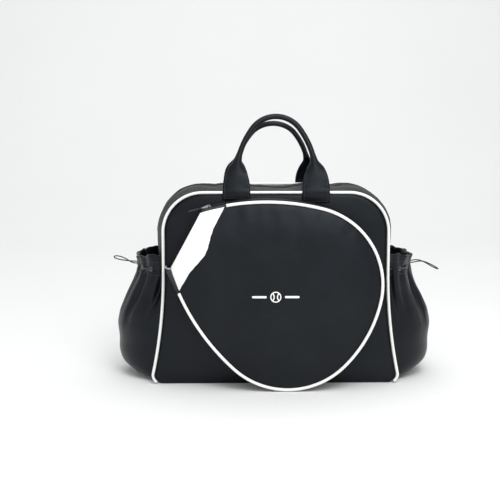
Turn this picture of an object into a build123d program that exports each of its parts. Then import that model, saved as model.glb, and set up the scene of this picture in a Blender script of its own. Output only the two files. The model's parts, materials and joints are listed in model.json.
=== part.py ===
"""A holdall with a padded racket pocket on its front, a drawcord pocket on each end and two carrying handles.

Everything is in millimetres. +X runs along the bag, the front is towards -Y, and +Z is up.
The origin is on the floor, under the middle of the bag's own box-shaped body.
"""

import os
from math import acos, atan2, cos, degrees, hypot, pi, radians, sin, sqrt, tan

from build123d import *

# Body: front and back panels joined by a gusset that bulges between them.
half_depth = 90.0
skin = 3.0
waist_half = 185.0
waist_z = 200.0
base_half = 208.5
body_top = 322.0
corner_r = 64.0
base_r = 16.0
side_bulge = 15.0
base_bulge = 3.0
top_bulge = 8.0
corner_bulge = 12.0
side_seam_z = 20.0

# White piping round the edges of the panels.
piping_r = 2.5
piping_out = 2.0
piping_start_deg = 50.0

# Main zip, which runs over the top and down both ends.
zip_end_z = 234.0
zip_gap_half = 11.0
tape_half = 15.0
tape_slit = 2.5
tape_t = 0.8
tape_inset = 3.6
chain_half = 3.0
chain_slit = 0.6
chain_inset = 1.2
chain_t = 2.3
stop_h = 3.2

# Stiff board and cloth lining inside the body.
board_t = 3.0
board_clear = 6.0
lining_inset = 3.3
lining_t = 0.7

# Racket pocket. Its outline lies in the front plane, along an axis that slopes down to the right.
pocket_tilt = 28.5
mouth_x = -146.5
pocket_floor_gap = 5.6
pocket_length = 332.0
pocket_half = 152.0
pocket_widest_u = 201.0
mouth_half = 52.0
side_r = 371.0
end_r = 214.0
pocket_depth = 50.0
pocket_taper = 5.0
pocket_skin = 1.6
pocket_wall = 2.0
padding_t = 4.0
pocket_lining_t = 0.6
layer_gap = 0.1
piping_gap_u = 31.0
white_band = 29.3
white_bump = 8.8
white_bump_half = 45.0

# The racket pocket's zip, on the upper side of its gusset.
pocket_zip_y = -116.0
pocket_zip_gap_half = 7.0
pocket_tape_half = 10.5
pocket_tape_slit = 2.1
pocket_chain_half = 2.6
pocket_chain_slit = 0.95
pocket_chain_t = 1.8
pocket_zip_end_deg = 55.0
pocket_slider_start = 8.0

# Emblem: a ball with a seam between two bars.
emblem_centre = (-2.5, 160.0)
emblem_ball_r = 9.0
emblem_line = 1.8
emblem_t = 0.4
emblem_bar = (24.0, 3.6)
emblem_bar_gap = 5.5

# Handles.
strap_x = 65.5
strap_w = 45.0
strap_t = 2.5
roll_r = 4.5
core_r = 2.7
roll_bore_r = 2.8
pivot_z = 328.0
pivot_y = 96.0
anchor_top = 321.2
front_anchor_bottom = 316.6
back_anchor_bottom = 262.0
front_lean = 12.0
back_lean = 27.0
front_spring = 20.0
back_spring = 17.0
arch_height = 102.0
arch_top_r = 48.0
tab_full = 4.0
tab_mid = 26.0
tab_neck = 56.0
grip_low = 26.0
core_low = 52.0

# Drawcord pockets on the two ends: height, reach in X and half width in Y of each section.
end_pocket_seat = 180.0
end_pocket_sections = [
    (3.5, 222.0, 85.0),
    (10.0, 245.0, 86.0),
    (22.0, 259.0, 86.0),
    (50.0, 267.0, 86.0),
    (90.0, 271.0, 86.0),
    (115.0, 267.0, 86.0),
    (140.0, 257.0, 86.0),
    (162.0, 247.0, 86.0),
    (180.0, 239.0, 86.0),
    (186.0, 238.0, 86.0),
    (212.0, 238.0, 86.0),
]
end_pocket_wall = 2.0
end_pocket_floor = 6.0
hem_inset = 5.2
hem_t = 1.2
hem_bottom = 187.0
cord_z = 194.0
cord_inset = 3.6
cord_outset = 2.0
cord_r = 1.0
cord_bend_r = 1.6
eyelet_pair = (60.0, 40.0)
loop_eyelet = 7.0
eyelet_bore_r = 1.6
eyelet_barrel_r = 2.3
eyelet_flange_r = 4.0
eyelet_flange_t = 0.6

# Routes of the two loops of free cord, from the front eyelet out to the tip and back to the rear one.
left_loop = [
    (-243.5, -11.2, 194.4),
    (-250.5, -10.6, 197.5),
    (-258.5, -9.6, 202.5),
    (-268.0, -7.6, 206.0),
    (-276.5, -4.0, 206.5),
    (-280.5, 2.5, 203.5),
    (-277.0, 8.2, 199.5),
    (-268.5, 10.4, 197.0),
    (-259.0, 11.2, 195.5),
    (-250.8, 11.4, 194.6),
    (-243.5, 11.2, 194.2),
]
right_loop = [
    (243.5, -11.2, 194.3),
    (251.5, -10.8, 196.3),
    (260.5, -10.0, 196.5),
    (270.0, -9.0, 193.0),
    (279.0, -7.6, 188.5),
    (287.5, -4.6, 183.5),
    (291.5, 2.0, 180.0),
    (287.0, 7.6, 180.6),
    (278.5, 9.6, 185.0),
    (269.5, 10.6, 190.5),
    (260.5, 11.2, 194.8),
    (251.5, 11.4, 195.6),
    (243.5, 11.2, 194.1),
]
loop_start_inset = 2.2

# Zip sliders and pulls, in their own axes: along the zip, across it, and out of it.
slider_length = 13.0
slider_width = 9.6
plate_t = 1.3
bridge_w = 2.0
bridge_h = 3.4
bridge_window = (5.2, 1.9)
ring_rod_r = 0.6
ring_length = 10.0
ring_half_width = 3.0
strap_pull_length = 24.0
strap_pull_width = 4.6
strap_pull_t = 2.0

FAR = 1000.0


def at_y(y):
    """The plane across the bag at depth y, drawn with X to the right and Z up."""
    return Plane(origin=(0, y, 0), x_dir=(1, 0, 0), z_dir=(0, -1, 0))


def block(x0, x1, y0, y1, z0, z1):
    """A box between two corners."""
    size = (x1 - x0, y1 - y0, z1 - z0)
    return Pos((x0 + x1) / 2, (y0 + y1) / 2, (z0 + z1) / 2) * Box(*size)


def only_solids(shape):
    """The solids of a cut, as one compound."""
    return Compound(children=list(shape.solids()))


def save(shape, node):
    export_step(only_solids(shape), f"parts/{node}.step")


# ---------------------------------------------------------------- body shell


class Outline:
    """The bag's outline across X and Z: waisted sides that flare to the base, and round top corners."""

    def __init__(self, bulge=0.0, inset=0.0):
        self.inset = inset
        self.waist = waist_half + bulge * side_bulge
        self.base = base_half + bulge * base_bulge
        self.top = body_top + bulge * top_bulge
        self.corner = corner_r + bulge * corner_bulge
        flare = self.base - self.waist
        self.flare_r = (waist_z**2 + flare**2) / (2 * flare)
        self.flare_x = self.waist + self.flare_r

    def side(self, z):
        """Half the width at height z, below the waist."""
        r = self.flare_r + self.inset
        return self.flare_x - sqrt(r**2 - (waist_z - z) ** 2)

    def face(self, bottom=0.0):
        """The whole outline as a face, with its base at height bottom."""
        low = bottom + self.inset
        high = self.top - self.inset
        waist = self.waist - self.inset
        right = [
            Line((0, low), (self.side(low), low)),
            ThreePointArc(
                (self.side(low), low),
                (self.side((low + waist_z) / 2), (low + waist_z) / 2),
                (waist, waist_z),
            ),
            Line((waist, waist_z), (waist, high)),
            Line((waist, high), (0, high)),
        ]
        left = [edge.mirror(Plane.YZ) for edge in right]
        sheet = make_face(right + left)
        tops = sheet.vertices().filter_by(lambda v: v.Y > high - 1 and abs(v.X) > 1)
        sheet = fillet(tops, self.corner - self.inset)
        feet = sheet.vertices().filter_by(lambda v: v.Y < low + 1 and abs(v.X) > 1)
        return fillet(feet, base_r)

    def open_path(self, out):
        """The outline from one foot over the top to the other, as a wire, out beyond the panel."""
        r = self.flare_r - out
        waist = self.waist + out
        top = self.top + out
        corner = self.corner + out

        def side(z):
            return self.flare_x - sqrt(r**2 - (waist_z - z) ** 2)

        foot_z = base_r
        foot = (side(foot_z), foot_z)
        middle = ((side((foot_z + waist_z) / 2)), (foot_z + waist_z) / 2)
        shoulder = (waist, top - corner)
        crown = (waist - corner, top)
        bend = (waist - corner * (1 - cos(pi / 4)), top - corner * (1 - sin(pi / 4)))
        centre_x = foot[0] - base_r
        toe_turn = radians(piping_start_deg)
        toe = (centre_x + base_r * cos(toe_turn), foot_z - base_r * sin(toe_turn))
        toe_mid = (centre_x + base_r * cos(toe_turn / 2), foot_z - base_r * sin(toe_turn / 2))
        right = [
            ThreePointArc(toe, toe_mid, foot),
            ThreePointArc(foot, middle, (waist, waist_z)),
            Line((waist, waist_z), shoulder),
            ThreePointArc(shoulder, bend, crown),
            Line(crown, (0, top)),
        ]
        left = [edge.mirror(Plane.YZ) for edge in right]
        return Wire(right + left), toe


def envelope(inset, bottom):
    """The closed shape inside the body's skin at a given depth below the surface."""
    end = half_depth - inset
    flat = Outline(0.0, inset).face(bottom)
    full = Outline(1.0, inset).face(bottom)
    return loft([at_y(-end) * flat, at_y(0) * full, at_y(end) * flat])


def body_parts():
    """Panels, gusset pieces, lining and board of the main compartment."""
    outer = envelope(0.0, -1.0) - block(-FAR, FAR, -FAR, FAR, -FAR, 0)
    inner = envelope(skin, 0.0)
    shell = outer - inner
    inside = half_depth - skin
    front = shell & block(-FAR, FAR, -FAR, -inside, -FAR, FAR)
    back = shell & block(-FAR, FAR, inside, FAR, -FAR, FAR)
    ring = shell & block(-FAR, FAR, -inside, inside, -FAR, FAR)
    parts = {
        "front_panel": front,
        "back_panel": back,
        "bottom_panel": ring & block(-FAR, FAR, -FAR, FAR, -FAR, side_seam_z),
        "side_panel_left": ring & block(-FAR, 0, -FAR, FAR, side_seam_z, zip_end_z),
        "side_panel_right": ring & block(0, FAR, -FAR, FAR, side_seam_z, zip_end_z),
        "top_strip_front": ring & block(-FAR, FAR, -FAR, -zip_gap_half, zip_end_z, FAR),
        "top_strip_rear": ring & block(-FAR, FAR, zip_gap_half, FAR, zip_end_z, FAR),
    }
    lining = envelope(lining_inset, 0.0) - envelope(lining_inset + lining_t, 0.0)
    slot = tape_half + 1.0
    parts["lining"] = lining - block(-FAR, FAR, -slot, slot, zip_end_z - 6.0, FAR)
    under = lining_inset + lining_t + 0.3
    reach = base_half - base_r - board_clear
    deep = half_depth - board_clear
    board = block(-reach, reach, -deep, deep, under, under + board_t)
    parts["base_board"] = fillet(board.edges().filter_by(Axis.Z), 20.0)
    return outer, parts


def flat_ring(inset, thick):
    """A closed band that follows the bulged outline, in the plane of the zip."""
    return Outline(1.0, inset).face() - Outline(1.0, inset + thick).face()


def main_zip_parts():
    """Two tapes, two rows of chain and the end stops, above the zip's ends."""
    above = block(-FAR, FAR, -FAR, FAR, zip_end_z, FAR)
    tape = flat_ring(tape_inset, tape_t)
    chain = flat_ring(chain_inset, chain_t)
    tape_w = tape_half - tape_slit
    chain_w = chain_half - chain_slit
    parts = {
        "main_zip_tape_front": extrude(at_y(-tape_slit) * tape, tape_w) & above,
        "main_zip_tape_rear": extrude(at_y(tape_half) * tape, tape_w) & above,
    }
    rows = extrude(at_y(-chain_slit) * chain, chain_w)
    rows += extrude(at_y(chain_half) * chain, chain_w)
    parts["main_zip_chain"] = rows & block(-FAR, FAR, -FAR, FAR, zip_end_z + stop_h + 0.2, FAR)
    stop_x = Outline(1.0).waist - chain_inset
    stop = block(stop_x - chain_t, stop_x + 0.4, -chain_half, chain_half, zip_end_z + 0.2, zip_end_z + stop_h)
    gap = block(-FAR, FAR, -chain_slit, chain_slit, -FAR, FAR)
    stops = stop - gap
    parts["main_zip_stops"] = stops + stops.mirror(Plane.YZ)
    return parts


def piping_parts():
    """White piping round the sides and top of the front and back panels."""
    parts = {}
    for node, sign in (("piping_front", -1), ("piping_back", 1)):
        path, toe = Outline().open_path(piping_out)
        turn = radians(piping_start_deg)
        start = Plane(origin=(toe[0], toe[1], 0), z_dir=(sin(turn), cos(turn), 0))
        tube = sweep(start * Circle(piping_r), path=path)
        parts[node] = at_y(sign * (half_depth + piping_out)) * tube
    return parts


# ------------------------------------------------------------- racket pocket


class PocketOutline:
    """Five tangent arcs, symmetric about the pocket's axis, open at the mouth."""

    def __init__(self):
        tilt = radians(pocket_tilt)
        self.u = (cos(tilt), -sin(tilt))
        self.v = (sin(tilt), cos(tilt))
        reach = pocket_widest_u - pocket_length + end_r
        self.shoulder_r = (end_r**2 - reach**2 - pocket_half**2) / (2 * (end_r - pocket_half))
        self.c3 = (pocket_length - end_r, 0.0)
        self.c2 = (pocket_widest_u, pocket_half - self.shoulder_r)
        gap = hypot(self.c2[0], self.c2[1] - mouth_half)
        ex = self.c2[0] / gap
        ey = (self.c2[1] - mouth_half) / gap
        along = (side_r**2 - (side_r - self.shoulder_r) ** 2 + gap**2) / (2 * gap)
        aside = sqrt(side_r**2 - along**2)
        self.c1 = (along * ex + aside * ey, mouth_half + along * ey - aside * ex)
        self.turn_end = degrees(atan2(self.c2[1], self.c2[0] - self.c3[0]))
        self.turn_side = degrees(atan2(self.c2[1] - self.c1[1], self.c2[0] - self.c1[0]))
        self.turn_mouth = degrees(atan2(mouth_half - self.c1[1], -self.c1[0]))
        low = self.c2[0] * sin(tilt) + self.c2[1] * cos(tilt) + self.shoulder_r
        self.mouth = (mouth_x, low + pocket_floor_gap)

    def world(self, u, v):
        """Pocket coordinates as X and Z."""
        x = self.mouth[0] + u * self.u[0] + v * self.v[0]
        z = self.mouth[1] + u * self.u[1] + v * self.v[1]
        return x, z

    def arcs(self):
        """(centre, radius, start, end) of each arc in degrees, anticlockwise from the mouth's foot."""
        under = (self.c1[0], -self.c1[1])
        low = (self.c2[0], -self.c2[1])
        local = [
            (under, side_r, -self.turn_mouth, -self.turn_side),
            (low, self.shoulder_r, -self.turn_side, -self.turn_end),
            (self.c3, end_r, -self.turn_end, self.turn_end),
            (self.c2, self.shoulder_r, self.turn_end, self.turn_side),
            (self.c1, side_r, self.turn_side, self.turn_mouth),
        ]
        return [(self.world(*c), r, a - pocket_tilt, b - pocket_tilt) for c, r, a, b in local]

    def angle_at_u(self, u, upper=True):
        """The angle about the side arc's centre of its point at distance u from the mouth."""
        local = 180.0 - degrees(acos((self.c1[0] - u) / side_r))
        return (local if upper else -local) - pocket_tilt


def arc_point(centre, r, angle, y):
    return (centre[0] + r * cos(radians(angle)), y, centre[1] + r * sin(radians(angle)))


def arc_band(arc, profile):
    """A solid along one arc. Its section is a list of (distance outside the outline, y)."""
    centre, r, start, end = arc
    points = [arc_point(centre, r + out, start, y) for out, y in profile]
    section = Face(Wire.make_polygon(points, close=True))
    axis = Axis((centre[0], 0, centre[1]), (0, -1, 0))
    return revolve(section, axis, end - start)


def taper_at(y):
    """How far the gusset stands outside the front outline at depth y."""
    front = -(half_depth + pocket_depth)
    return pocket_taper * (y - front) / pocket_depth


def wall_profile(y0, y1, inset, thick):
    """A slanting section of the gusset between two depths."""
    return [
        (taper_at(y0) - inset, y0),
        (taper_at(y1) - inset, y1),
        (taper_at(y1) - inset - thick, y1),
        (taper_at(y0) - inset - thick, y0),
    ]


def pocket_face(outline, inset=0.0):
    """The pocket's front outline as a face, cut straight across at the mouth."""
    edges = []
    for centre, r, start, end in outline.arcs():
        ends = [start, (start + end) / 2, end]
        points = [arc_point(centre, r - inset, a, 0) for a in ends]
        edges.append(ThreePointArc(*[(p[0], p[2]) for p in points]))
    edges.append(Line(edges[-1] @ 1, edges[0] @ 0))
    return make_face(edges)


def white_band_face(outline):
    """The area of the white panel at the mouth, whose inner edge swells softly at the middle."""
    reach = mouth_half + 60.0
    bump = [
        (white_band, -reach),
        (white_band, -white_bump_half),
        (white_band + white_bump, 0.0),
        (white_band, white_bump_half),
        (white_band, reach),
    ]
    low, low_bump, top, high_bump, high = [outline.world(u, v) for u, v in bump]
    along = outline.v
    curve = Spline(low_bump, top, high_bump, tangents=[along, along])
    outer_low = outline.world(-60.0, -reach)
    outer_high = outline.world(-60.0, reach)
    edges = [
        Line(low, low_bump),
        curve,
        Line(high_bump, high),
        Line(high, outer_high),
        Line(outer_high, outer_low),
        Line(outer_low, low),
    ]
    return make_face(edges)


def pocket_parts(outline):
    """Front, white mouth panel, padding, lining, gusset and piping of the racket pocket."""
    front_y = -(half_depth + pocket_depth)
    arcs = outline.arcs()
    whole = pocket_face(outline)
    band = white_band_face(outline)
    parts = {
        "racket_pocket_front": extrude(at_y(front_y + pocket_skin) * (whole - band), pocket_skin),
        "racket_pocket_mouth_panel": extrude(at_y(front_y + pocket_skin) * (whole & band), pocket_skin),
    }
    inner = pocket_face(outline, pocket_wall + 0.6)
    padding_y = front_y + pocket_skin + layer_gap + padding_t
    lining_y = padding_y + layer_gap + pocket_lining_t
    parts["racket_pocket_padding"] = extrude(at_y(padding_y) * inner, padding_t)
    parts["racket_pocket_lining"] = extrude(at_y(lining_y) * inner, pocket_lining_t)

    seam_y = front_y + pocket_skin
    zip_arcs = pocket_zip_arcs(outline)
    plain = arcs[:3] + [(arcs[3][0], arcs[3][1], arcs[3][2], zip_arcs[0][2])]
    gusset = [arc_band(a, wall_profile(seam_y, -half_depth, 0.0, pocket_wall)) for a in plain]
    parts["racket_pocket_gusset"] = gusset[0].fuse(*gusset[1:])
    zip_front = pocket_zip_y - pocket_zip_gap_half
    zip_rear = pocket_zip_y + pocket_zip_gap_half
    front_strip = [arc_band(a, wall_profile(seam_y, zip_front, 0.0, pocket_wall)) for a in zip_arcs]
    rear_strip = [arc_band(a, wall_profile(zip_rear, -half_depth, 0.0, pocket_wall)) for a in zip_arcs]
    parts["racket_pocket_zip_strip_front"] = front_strip[0] + front_strip[1]
    parts["racket_pocket_zip_strip_rear"] = rear_strip[0] + rear_strip[1]
    parts["racket_pocket_piping"] = pocket_piping(outline, arcs, front_y)
    binding = mouth_strip(outline, front_y, lining_y)
    parts["racket_pocket_mouth_binding"] = binding
    return parts


def mouth_strip(outline, front_y, back_y):
    """Tape bound over the front panel's edge, straight across the mouth."""
    corners = [(-0.1, -mouth_half), (-0.1, mouth_half), (-1.3, mouth_half), (-1.3, -mouth_half)]
    sheet = make_face(Polyline(*[outline.world(u, v) for u, v in corners], close=True))
    return extrude(at_y(back_y) * sheet, back_y - front_y)


def pocket_zip_arcs(outline):
    """The part of the outline that the pocket's zip covers."""
    arcs = outline.arcs()
    centre, r, start, end = arcs[3]
    return [(centre, r, end - pocket_zip_end_deg, end), arcs[4]]


def pocket_piping(outline, arcs, front_y):
    """White piping round the pocket's front, from one end of the white panel to the other."""
    first = list(arcs[0])
    last = list(arcs[4])
    first[2] = outline.angle_at_u(piping_gap_u, upper=False)
    last[3] = outline.angle_at_u(piping_gap_u)
    y = front_y - piping_out
    pieces = []
    for centre, r, start, end in [first, *arcs[1:4], last]:
        ends = [start, (start + end) / 2, end]
        points = [arc_point(centre, r + piping_out, a, y) for a in ends]
        pieces.append(ThreePointArc(*points))
    path = Wire(pieces)
    begin = Plane(origin=path @ 0, z_dir=path % 0)
    return sweep(begin * Circle(piping_r), path=path)


def pocket_zip_parts(outline):
    """Tapes and chain rows of the racket pocket's zip."""
    zip_arcs = pocket_zip_arcs(outline)
    y = pocket_zip_y
    tape_under = pocket_wall + 0.2
    sides = {
        "front": (y - pocket_tape_half, y - pocket_tape_slit),
        "rear": (y + pocket_tape_slit, y + pocket_tape_half),
    }
    parts = {}
    for side, (y0, y1) in sides.items():
        bands = [arc_band(a, wall_profile(y0, y1, tape_under, 0.7)) for a in zip_arcs]
        parts[f"racket_pocket_zip_tape_{side}"] = bands[0] + bands[1]
    rows = []
    near = (y - pocket_chain_half, y - pocket_chain_slit)
    far = (y + pocket_chain_slit, y + pocket_chain_half)
    for y0, y1 in (near, far):
        bands = [arc_band(a, wall_profile(y0, y1, 0.3, pocket_chain_t)) for a in zip_arcs]
        rows.append(bands[0] + bands[1])
    parts["racket_pocket_zip_chain"] = rows[0] + rows[1]
    return parts


def emblem():
    """A generic ball with two seams between two bars, raised on the pocket's front."""
    x, z = emblem_centre
    ball = Circle(emblem_ball_r) - Circle(emblem_ball_r - emblem_line)
    seam_r = emblem_ball_r * 0.95
    seam = Circle(seam_r + emblem_line / 2) - Circle(seam_r - emblem_line / 2)
    disc = Circle(emblem_ball_r - emblem_line / 2)
    offset = emblem_ball_r * 1.25
    marks = ball + (Pos(offset, 0) * seam & disc) + (Pos(-offset, 0) * seam & disc)
    bar_x = emblem_ball_r + emblem_bar_gap + emblem_bar[0] / 2
    bar = SlotOverall(*emblem_bar)
    marks += Pos(bar_x, 0) * bar
    marks += Pos(-bar_x, 0) * bar
    front_y = -(half_depth + pocket_depth)
    return extrude(at_y(front_y) * (Pos(x, z) * marks), emblem_t)


# ------------------------------------------------------------------- handles


def tab_face(inward):
    """The flat part of one strap end. Its pointed top leans inward to meet the grip."""
    wide = strap_w / 2
    mid = wide * 0.79
    top = [
        ThreePointArc((wide, tab_full), (mid + inward * 0.1, tab_mid), (roll_r + inward, tab_neck)),
        Line((roll_r + inward, tab_neck), (inward - roll_r, tab_neck)),
        ThreePointArc((inward - roll_r, tab_neck), (inward * 0.1 - mid, tab_mid), (-wide, tab_full)),
    ]
    foot = Polyline((-wide, tab_full), (-wide, 0), (wide, 0), (wide, tab_full))
    return make_face(top + foot.edges())


def handle_strap(spring):
    """One carrying strap in its own plane: two tabs that roll into a round grip, and its core."""
    neck_x = grip_point(spring, tab_neck)
    parts = []
    for side in (-1, 1):
        tab = extrude(Plane.XZ.offset(-strap_t / 2) * tab_face(side * (neck_x - strap_x)), strap_t)
        parts.append(Pos(side * strap_x, 0, 0) * tab)
    path = grip_path(spring, grip_low)
    start = Plane(origin=path @ 0, z_dir=path % 0)
    grip = sweep(start * Circle(roll_r), path=path)
    bore = sweep(start * Circle(roll_bore_r), path=path)
    inner = grip_path(spring, core_low)
    begin = Plane(origin=inner @ 0, z_dir=inner % 0)
    core = sweep(begin * Circle(core_r), path=inner)
    return parts[0] + parts[1] + grip - bore, core


def arch_side_r():
    """Radius of the arch's two side arcs, which meet the top arc smoothly."""
    return (strap_x**2 + arch_height**2 - 2 * arch_height * arch_top_r) / (2 * (strap_x - arch_top_r))


def grip_point(spring, z):
    """How far the grip's middle line lies from the centre at height z on a side arc."""
    r = arch_side_r()
    return sqrt(r**2 - (z - spring) ** 2) + strap_x - r


def grip_path(spring, low):
    """From one tab over a three-centred arch to the other."""
    r = arch_side_r()
    turn = atan2(arch_height - arch_top_r, r - strap_x)
    join_z = spring + r * sin(turn)
    mid_z = (low + join_z) / 2
    low_x, mid_x, join_x = (grip_point(spring, z) for z in (low, mid_z, join_z))
    left = ThreePointArc((-low_x, 0, low), (-mid_x, 0, mid_z), (-join_x, 0, join_z))
    arch = ThreePointArc((-join_x, 0, join_z), (0, 0, spring + arch_height), (join_x, 0, join_z))
    right = ThreePointArc((join_x, 0, join_z), (mid_x, 0, mid_z), (low_x, 0, low))
    return Wire([left, arch, right])


def handle_parts():
    """Both handles, each leaning in over the bag, and the ends that are sewn to the panels."""
    parts = {}
    handles = (("front", -1, front_lean, front_spring), ("back", 1, back_lean, back_spring))
    for name, sign, lean, spring in handles:
        strap, core = handle_strap(spring)
        place = Pos(0, sign * pivot_y, pivot_z) * Rot(sign * lean, 0, 0) * Pos(0, 0, 0.6)
        parts[f"{name}_handle_strap"] = place * strap
        parts[f"{name}_handle_core"] = place * core
    parts["front_handle_anchors"] = anchors(-1, front_anchor_bottom, front_anchor_bottom + 0.6)
    parts["back_handle_anchors"] = anchors(1, back_anchor_bottom, anchor_top - 9.0)
    return parts


def anchors(sign, bottom, step):
    """The sewn ends of a handle: flat on the panel, then thicker to reach out past the piping."""
    inner = half_depth + 0.05
    outer = pivot_y + strap_t / 2
    section = [
        (inner, bottom),
        (inner + strap_t, bottom),
        (inner + strap_t, step),
        (outer, step + 2.5),
        (outer, anchor_top),
        (inner, anchor_top),
    ]
    points = [(0, sign * y, z) for y, z in section]
    profile = Face(Wire.make_polygon(points, close=True))
    solid = extrude(profile, strap_w / 2, both=True, dir=(1, 0, 0))
    return Pos(-strap_x, 0, 0) * solid + Pos(strap_x, 0, 0) * solid


# --------------------------------------------------------------- end pockets


def d_face(reach, half_width, inset):
    """Half an ellipse that bulges away from the end of the bag."""
    a = reach - end_pocket_seat - inset
    b = half_width - inset
    arc = EllipticalCenterArc((end_pocket_seat, 0), a, b, -90, arc_size=180)
    return make_face([arc, Line(arc @ 1, arc @ 0)])


def pocket_loft(inset, floor):
    """The end pocket's shape, inset below its surface and starting at height floor."""
    faces = []
    for z, reach, half_width in end_pocket_sections:
        height = max(z, floor)
        if z >= floor or not faces:
            faces.append(Pos(0, 0, height) * d_face(reach, half_width, inset))
    return loft(faces, ruled=True)


def end_ellipse(inset):
    """Centre, half length and half width of the end pocket's section, which is upright near the rim."""
    _, reach, half_width = end_pocket_sections[-2]
    return end_pocket_seat, reach - end_pocket_seat - inset, half_width - inset


def ellipse_frame(angle, inset):
    """A point of the rim's ellipse and the outward direction there."""
    x0, a, b = end_ellipse(inset)
    t = radians(angle)
    point = (x0 + a * cos(t), b * sin(t), cord_z)
    out = (cos(t) / a, sin(t) / b, 0)
    size = hypot(out[0], out[1])
    return point, (out[0] / size, out[1] / size, 0)


def eyelet_plane(angle, inset=0.0):
    point, out = ellipse_frame(angle, inset)
    return Plane(origin=point, z_dir=out)


def end_pocket_right(body):
    """Shell, hem, eyelets and the drawcord inside the hem of the right-hand end pocket."""
    outer = pocket_loft(0.0, 0.0)
    inner = pocket_loft(end_pocket_wall, end_pocket_floor)
    shell = outer - inner - body
    rim, reach, half_width = end_pocket_sections[-1]
    ring = d_face(reach - 0.5, half_width, hem_inset)
    ring -= d_face(reach - 0.5, half_width, hem_inset + hem_t)
    hem = extrude(Pos(0, 0, hem_bottom) * ring, rim - 1.0 - hem_bottom) - body

    eyelets = []
    for angle in eyelet_angles():
        plane = eyelet_plane(angle)
        base = (Align.CENTER, Align.CENTER, Align.MIN)
        depth = end_pocket_wall + 0.6
        shell -= plane.offset(-depth) * Cylinder(eyelet_barrel_r + 0.05, depth + 2.0, align=base)
        eyelets.append(one_eyelet(plane))
    return {
        "end_pocket": shell,
        "end_pocket_hem": hem,
        "end_pocket_eyelets": eyelets[0].fuse(*eyelets[1:]),
        "drawcord": drawcord_in_hem(),
    }


def eyelet_angles():
    """All six eyelets of one end pocket, as angles round the rim's ellipse."""
    first, second = eyelet_pair
    return (-first, -second, -loop_eyelet, loop_eyelet, second, first)


def one_eyelet(plane):
    """A metal ring with a flange outside and a short barrel through the wall."""
    base = (Align.CENTER, Align.CENTER, Align.MIN)
    flange = Pos(0, 0, 0.25) * Cylinder(eyelet_flange_r, eyelet_flange_t, align=base)
    barrel = Pos(0, 0, -1.7) * Cylinder(eyelet_barrel_r, 2.2, align=base)
    bore = Pos(0, 0, -3) * Cylinder(eyelet_bore_r, 8, align=base)
    return plane * (flange + barrel - bore)


def rim_point(angle, inset):
    """A point near the rim's ellipse at the height of the cord."""
    point, out = ellipse_frame(angle, 0.0)
    return Vector(point) - Vector(out) * inset


def tube(points, radii, r):
    """A cord that follows straight runs joined by tangent arcs."""
    path = FilletPolyline(*points, radius=radii)
    start = Plane(origin=path @ 0, z_dir=path % 0)
    return sweep(start * Circle(r), path=path)


def drawcord_in_hem():
    """The held drawcord on one side of the loop, mirrored for the other side.

    From the seam it runs inside the hem, out through one eyelet, in through the next and on to the loop.
    """
    first, second = eyelet_pair
    inside = [rim_point(-a, cord_inset) for a in (80, 74, 67)]
    across = [
        rim_point(-first, cord_inset),
        rim_point(-first, -cord_outset),
        rim_point(-(first + second) / 2, -cord_outset - 0.8),
        rim_point(-second, -cord_outset),
        rim_point(-second, cord_inset),
    ]
    onward = [rim_point(-a, cord_inset) for a in (32, 23, 15)]
    points = inside + across + onward
    gentle = 12.0
    bends = [cord_bend_r] * 2
    radii = [gentle, 4.0, *bends, gentle, *bends, gentle, gentle]
    cord = tube(points, radii, cord_r)
    return cord + cord.mirror(Plane.XZ)


def corner_radii(points):
    """For each corner, 0.45 of its shorter run over the tangent of half the turn."""
    radii = []
    for before, here, after in zip(points, points[1:], points[2:]):
        first = Vector(*here) - Vector(*before)
        second = Vector(*after) - Vector(*here)
        turn = radians(first.get_angle(second))
        radii.append(0.45 * min(first.length, second.length) / tan(turn / 2))
    return radii


def loop_cord(route, sign):
    """A free loop, with a short straight run through each of its two eyelets."""
    start = rim_point(-loop_eyelet, loop_start_inset)
    end = rim_point(loop_eyelet, loop_start_inset)
    points = [(sign * start.X, start.Y, start.Z), *route, (sign * end.X, end.Y, end.Z)]
    radii = corner_radii(points)
    length = FilletPolyline(*points, radius=radii).length
    print(f"loop: length {length:.1f}, tightest radius {min(radii):.1f}")
    return tube(points, radii, cord_r)


# ------------------------------------------------------------ sliders, pulls


def zip_slider(chain_out, slot_top, slot_bottom):
    """A slider about its own origin on the zip's surface: X along the zip, Y across, Z outwards.

    chain_out is where the chain's outer face is; the tape runs between slot_top and slot_bottom.
    """
    top = Pos(0, 0, chain_out + plate_t / 2) * Box(slider_length, slider_width, plate_t)
    top = fillet(top.edges().filter_by(Axis.Z), 2.4)
    lip_h = chain_out - slot_top
    lips = Box(slider_length * 0.7, 0.9, lip_h)
    lip_y = slider_width / 2 - 0.45
    lip_z = slot_top + lip_h / 2
    solid = top + Pos(0, lip_y, lip_z) * lips + Pos(0, -lip_y, lip_z) * lips
    under = Pos(0, 0, slot_bottom - 0.55) * Box(slider_length, slider_width - 1.6, 1.1)
    solid += fillet(under.edges().filter_by(Axis.Z), 2.0)
    post_h = chain_out - slot_bottom + 0.4
    solid += Pos(3.6, 0, slot_bottom - 0.2 + post_h / 2) * Box(3.0, chain_slit * 2 - 0.3, post_h)
    roof = chain_out + plate_t
    bridge = Pos(0, 0, roof + bridge_h / 2 - 0.1) * Box(8.6, bridge_w, bridge_h)
    bridge = fillet(bridge.edges().filter_by(Axis.Y).group_by(Axis.Z)[-1], 1.4)
    window = Pos(0, 0, roof + bridge_window[1] / 2) * Box(bridge_window[0], bridge_w + 1, bridge_window[1])
    return solid + bridge - window


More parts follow.
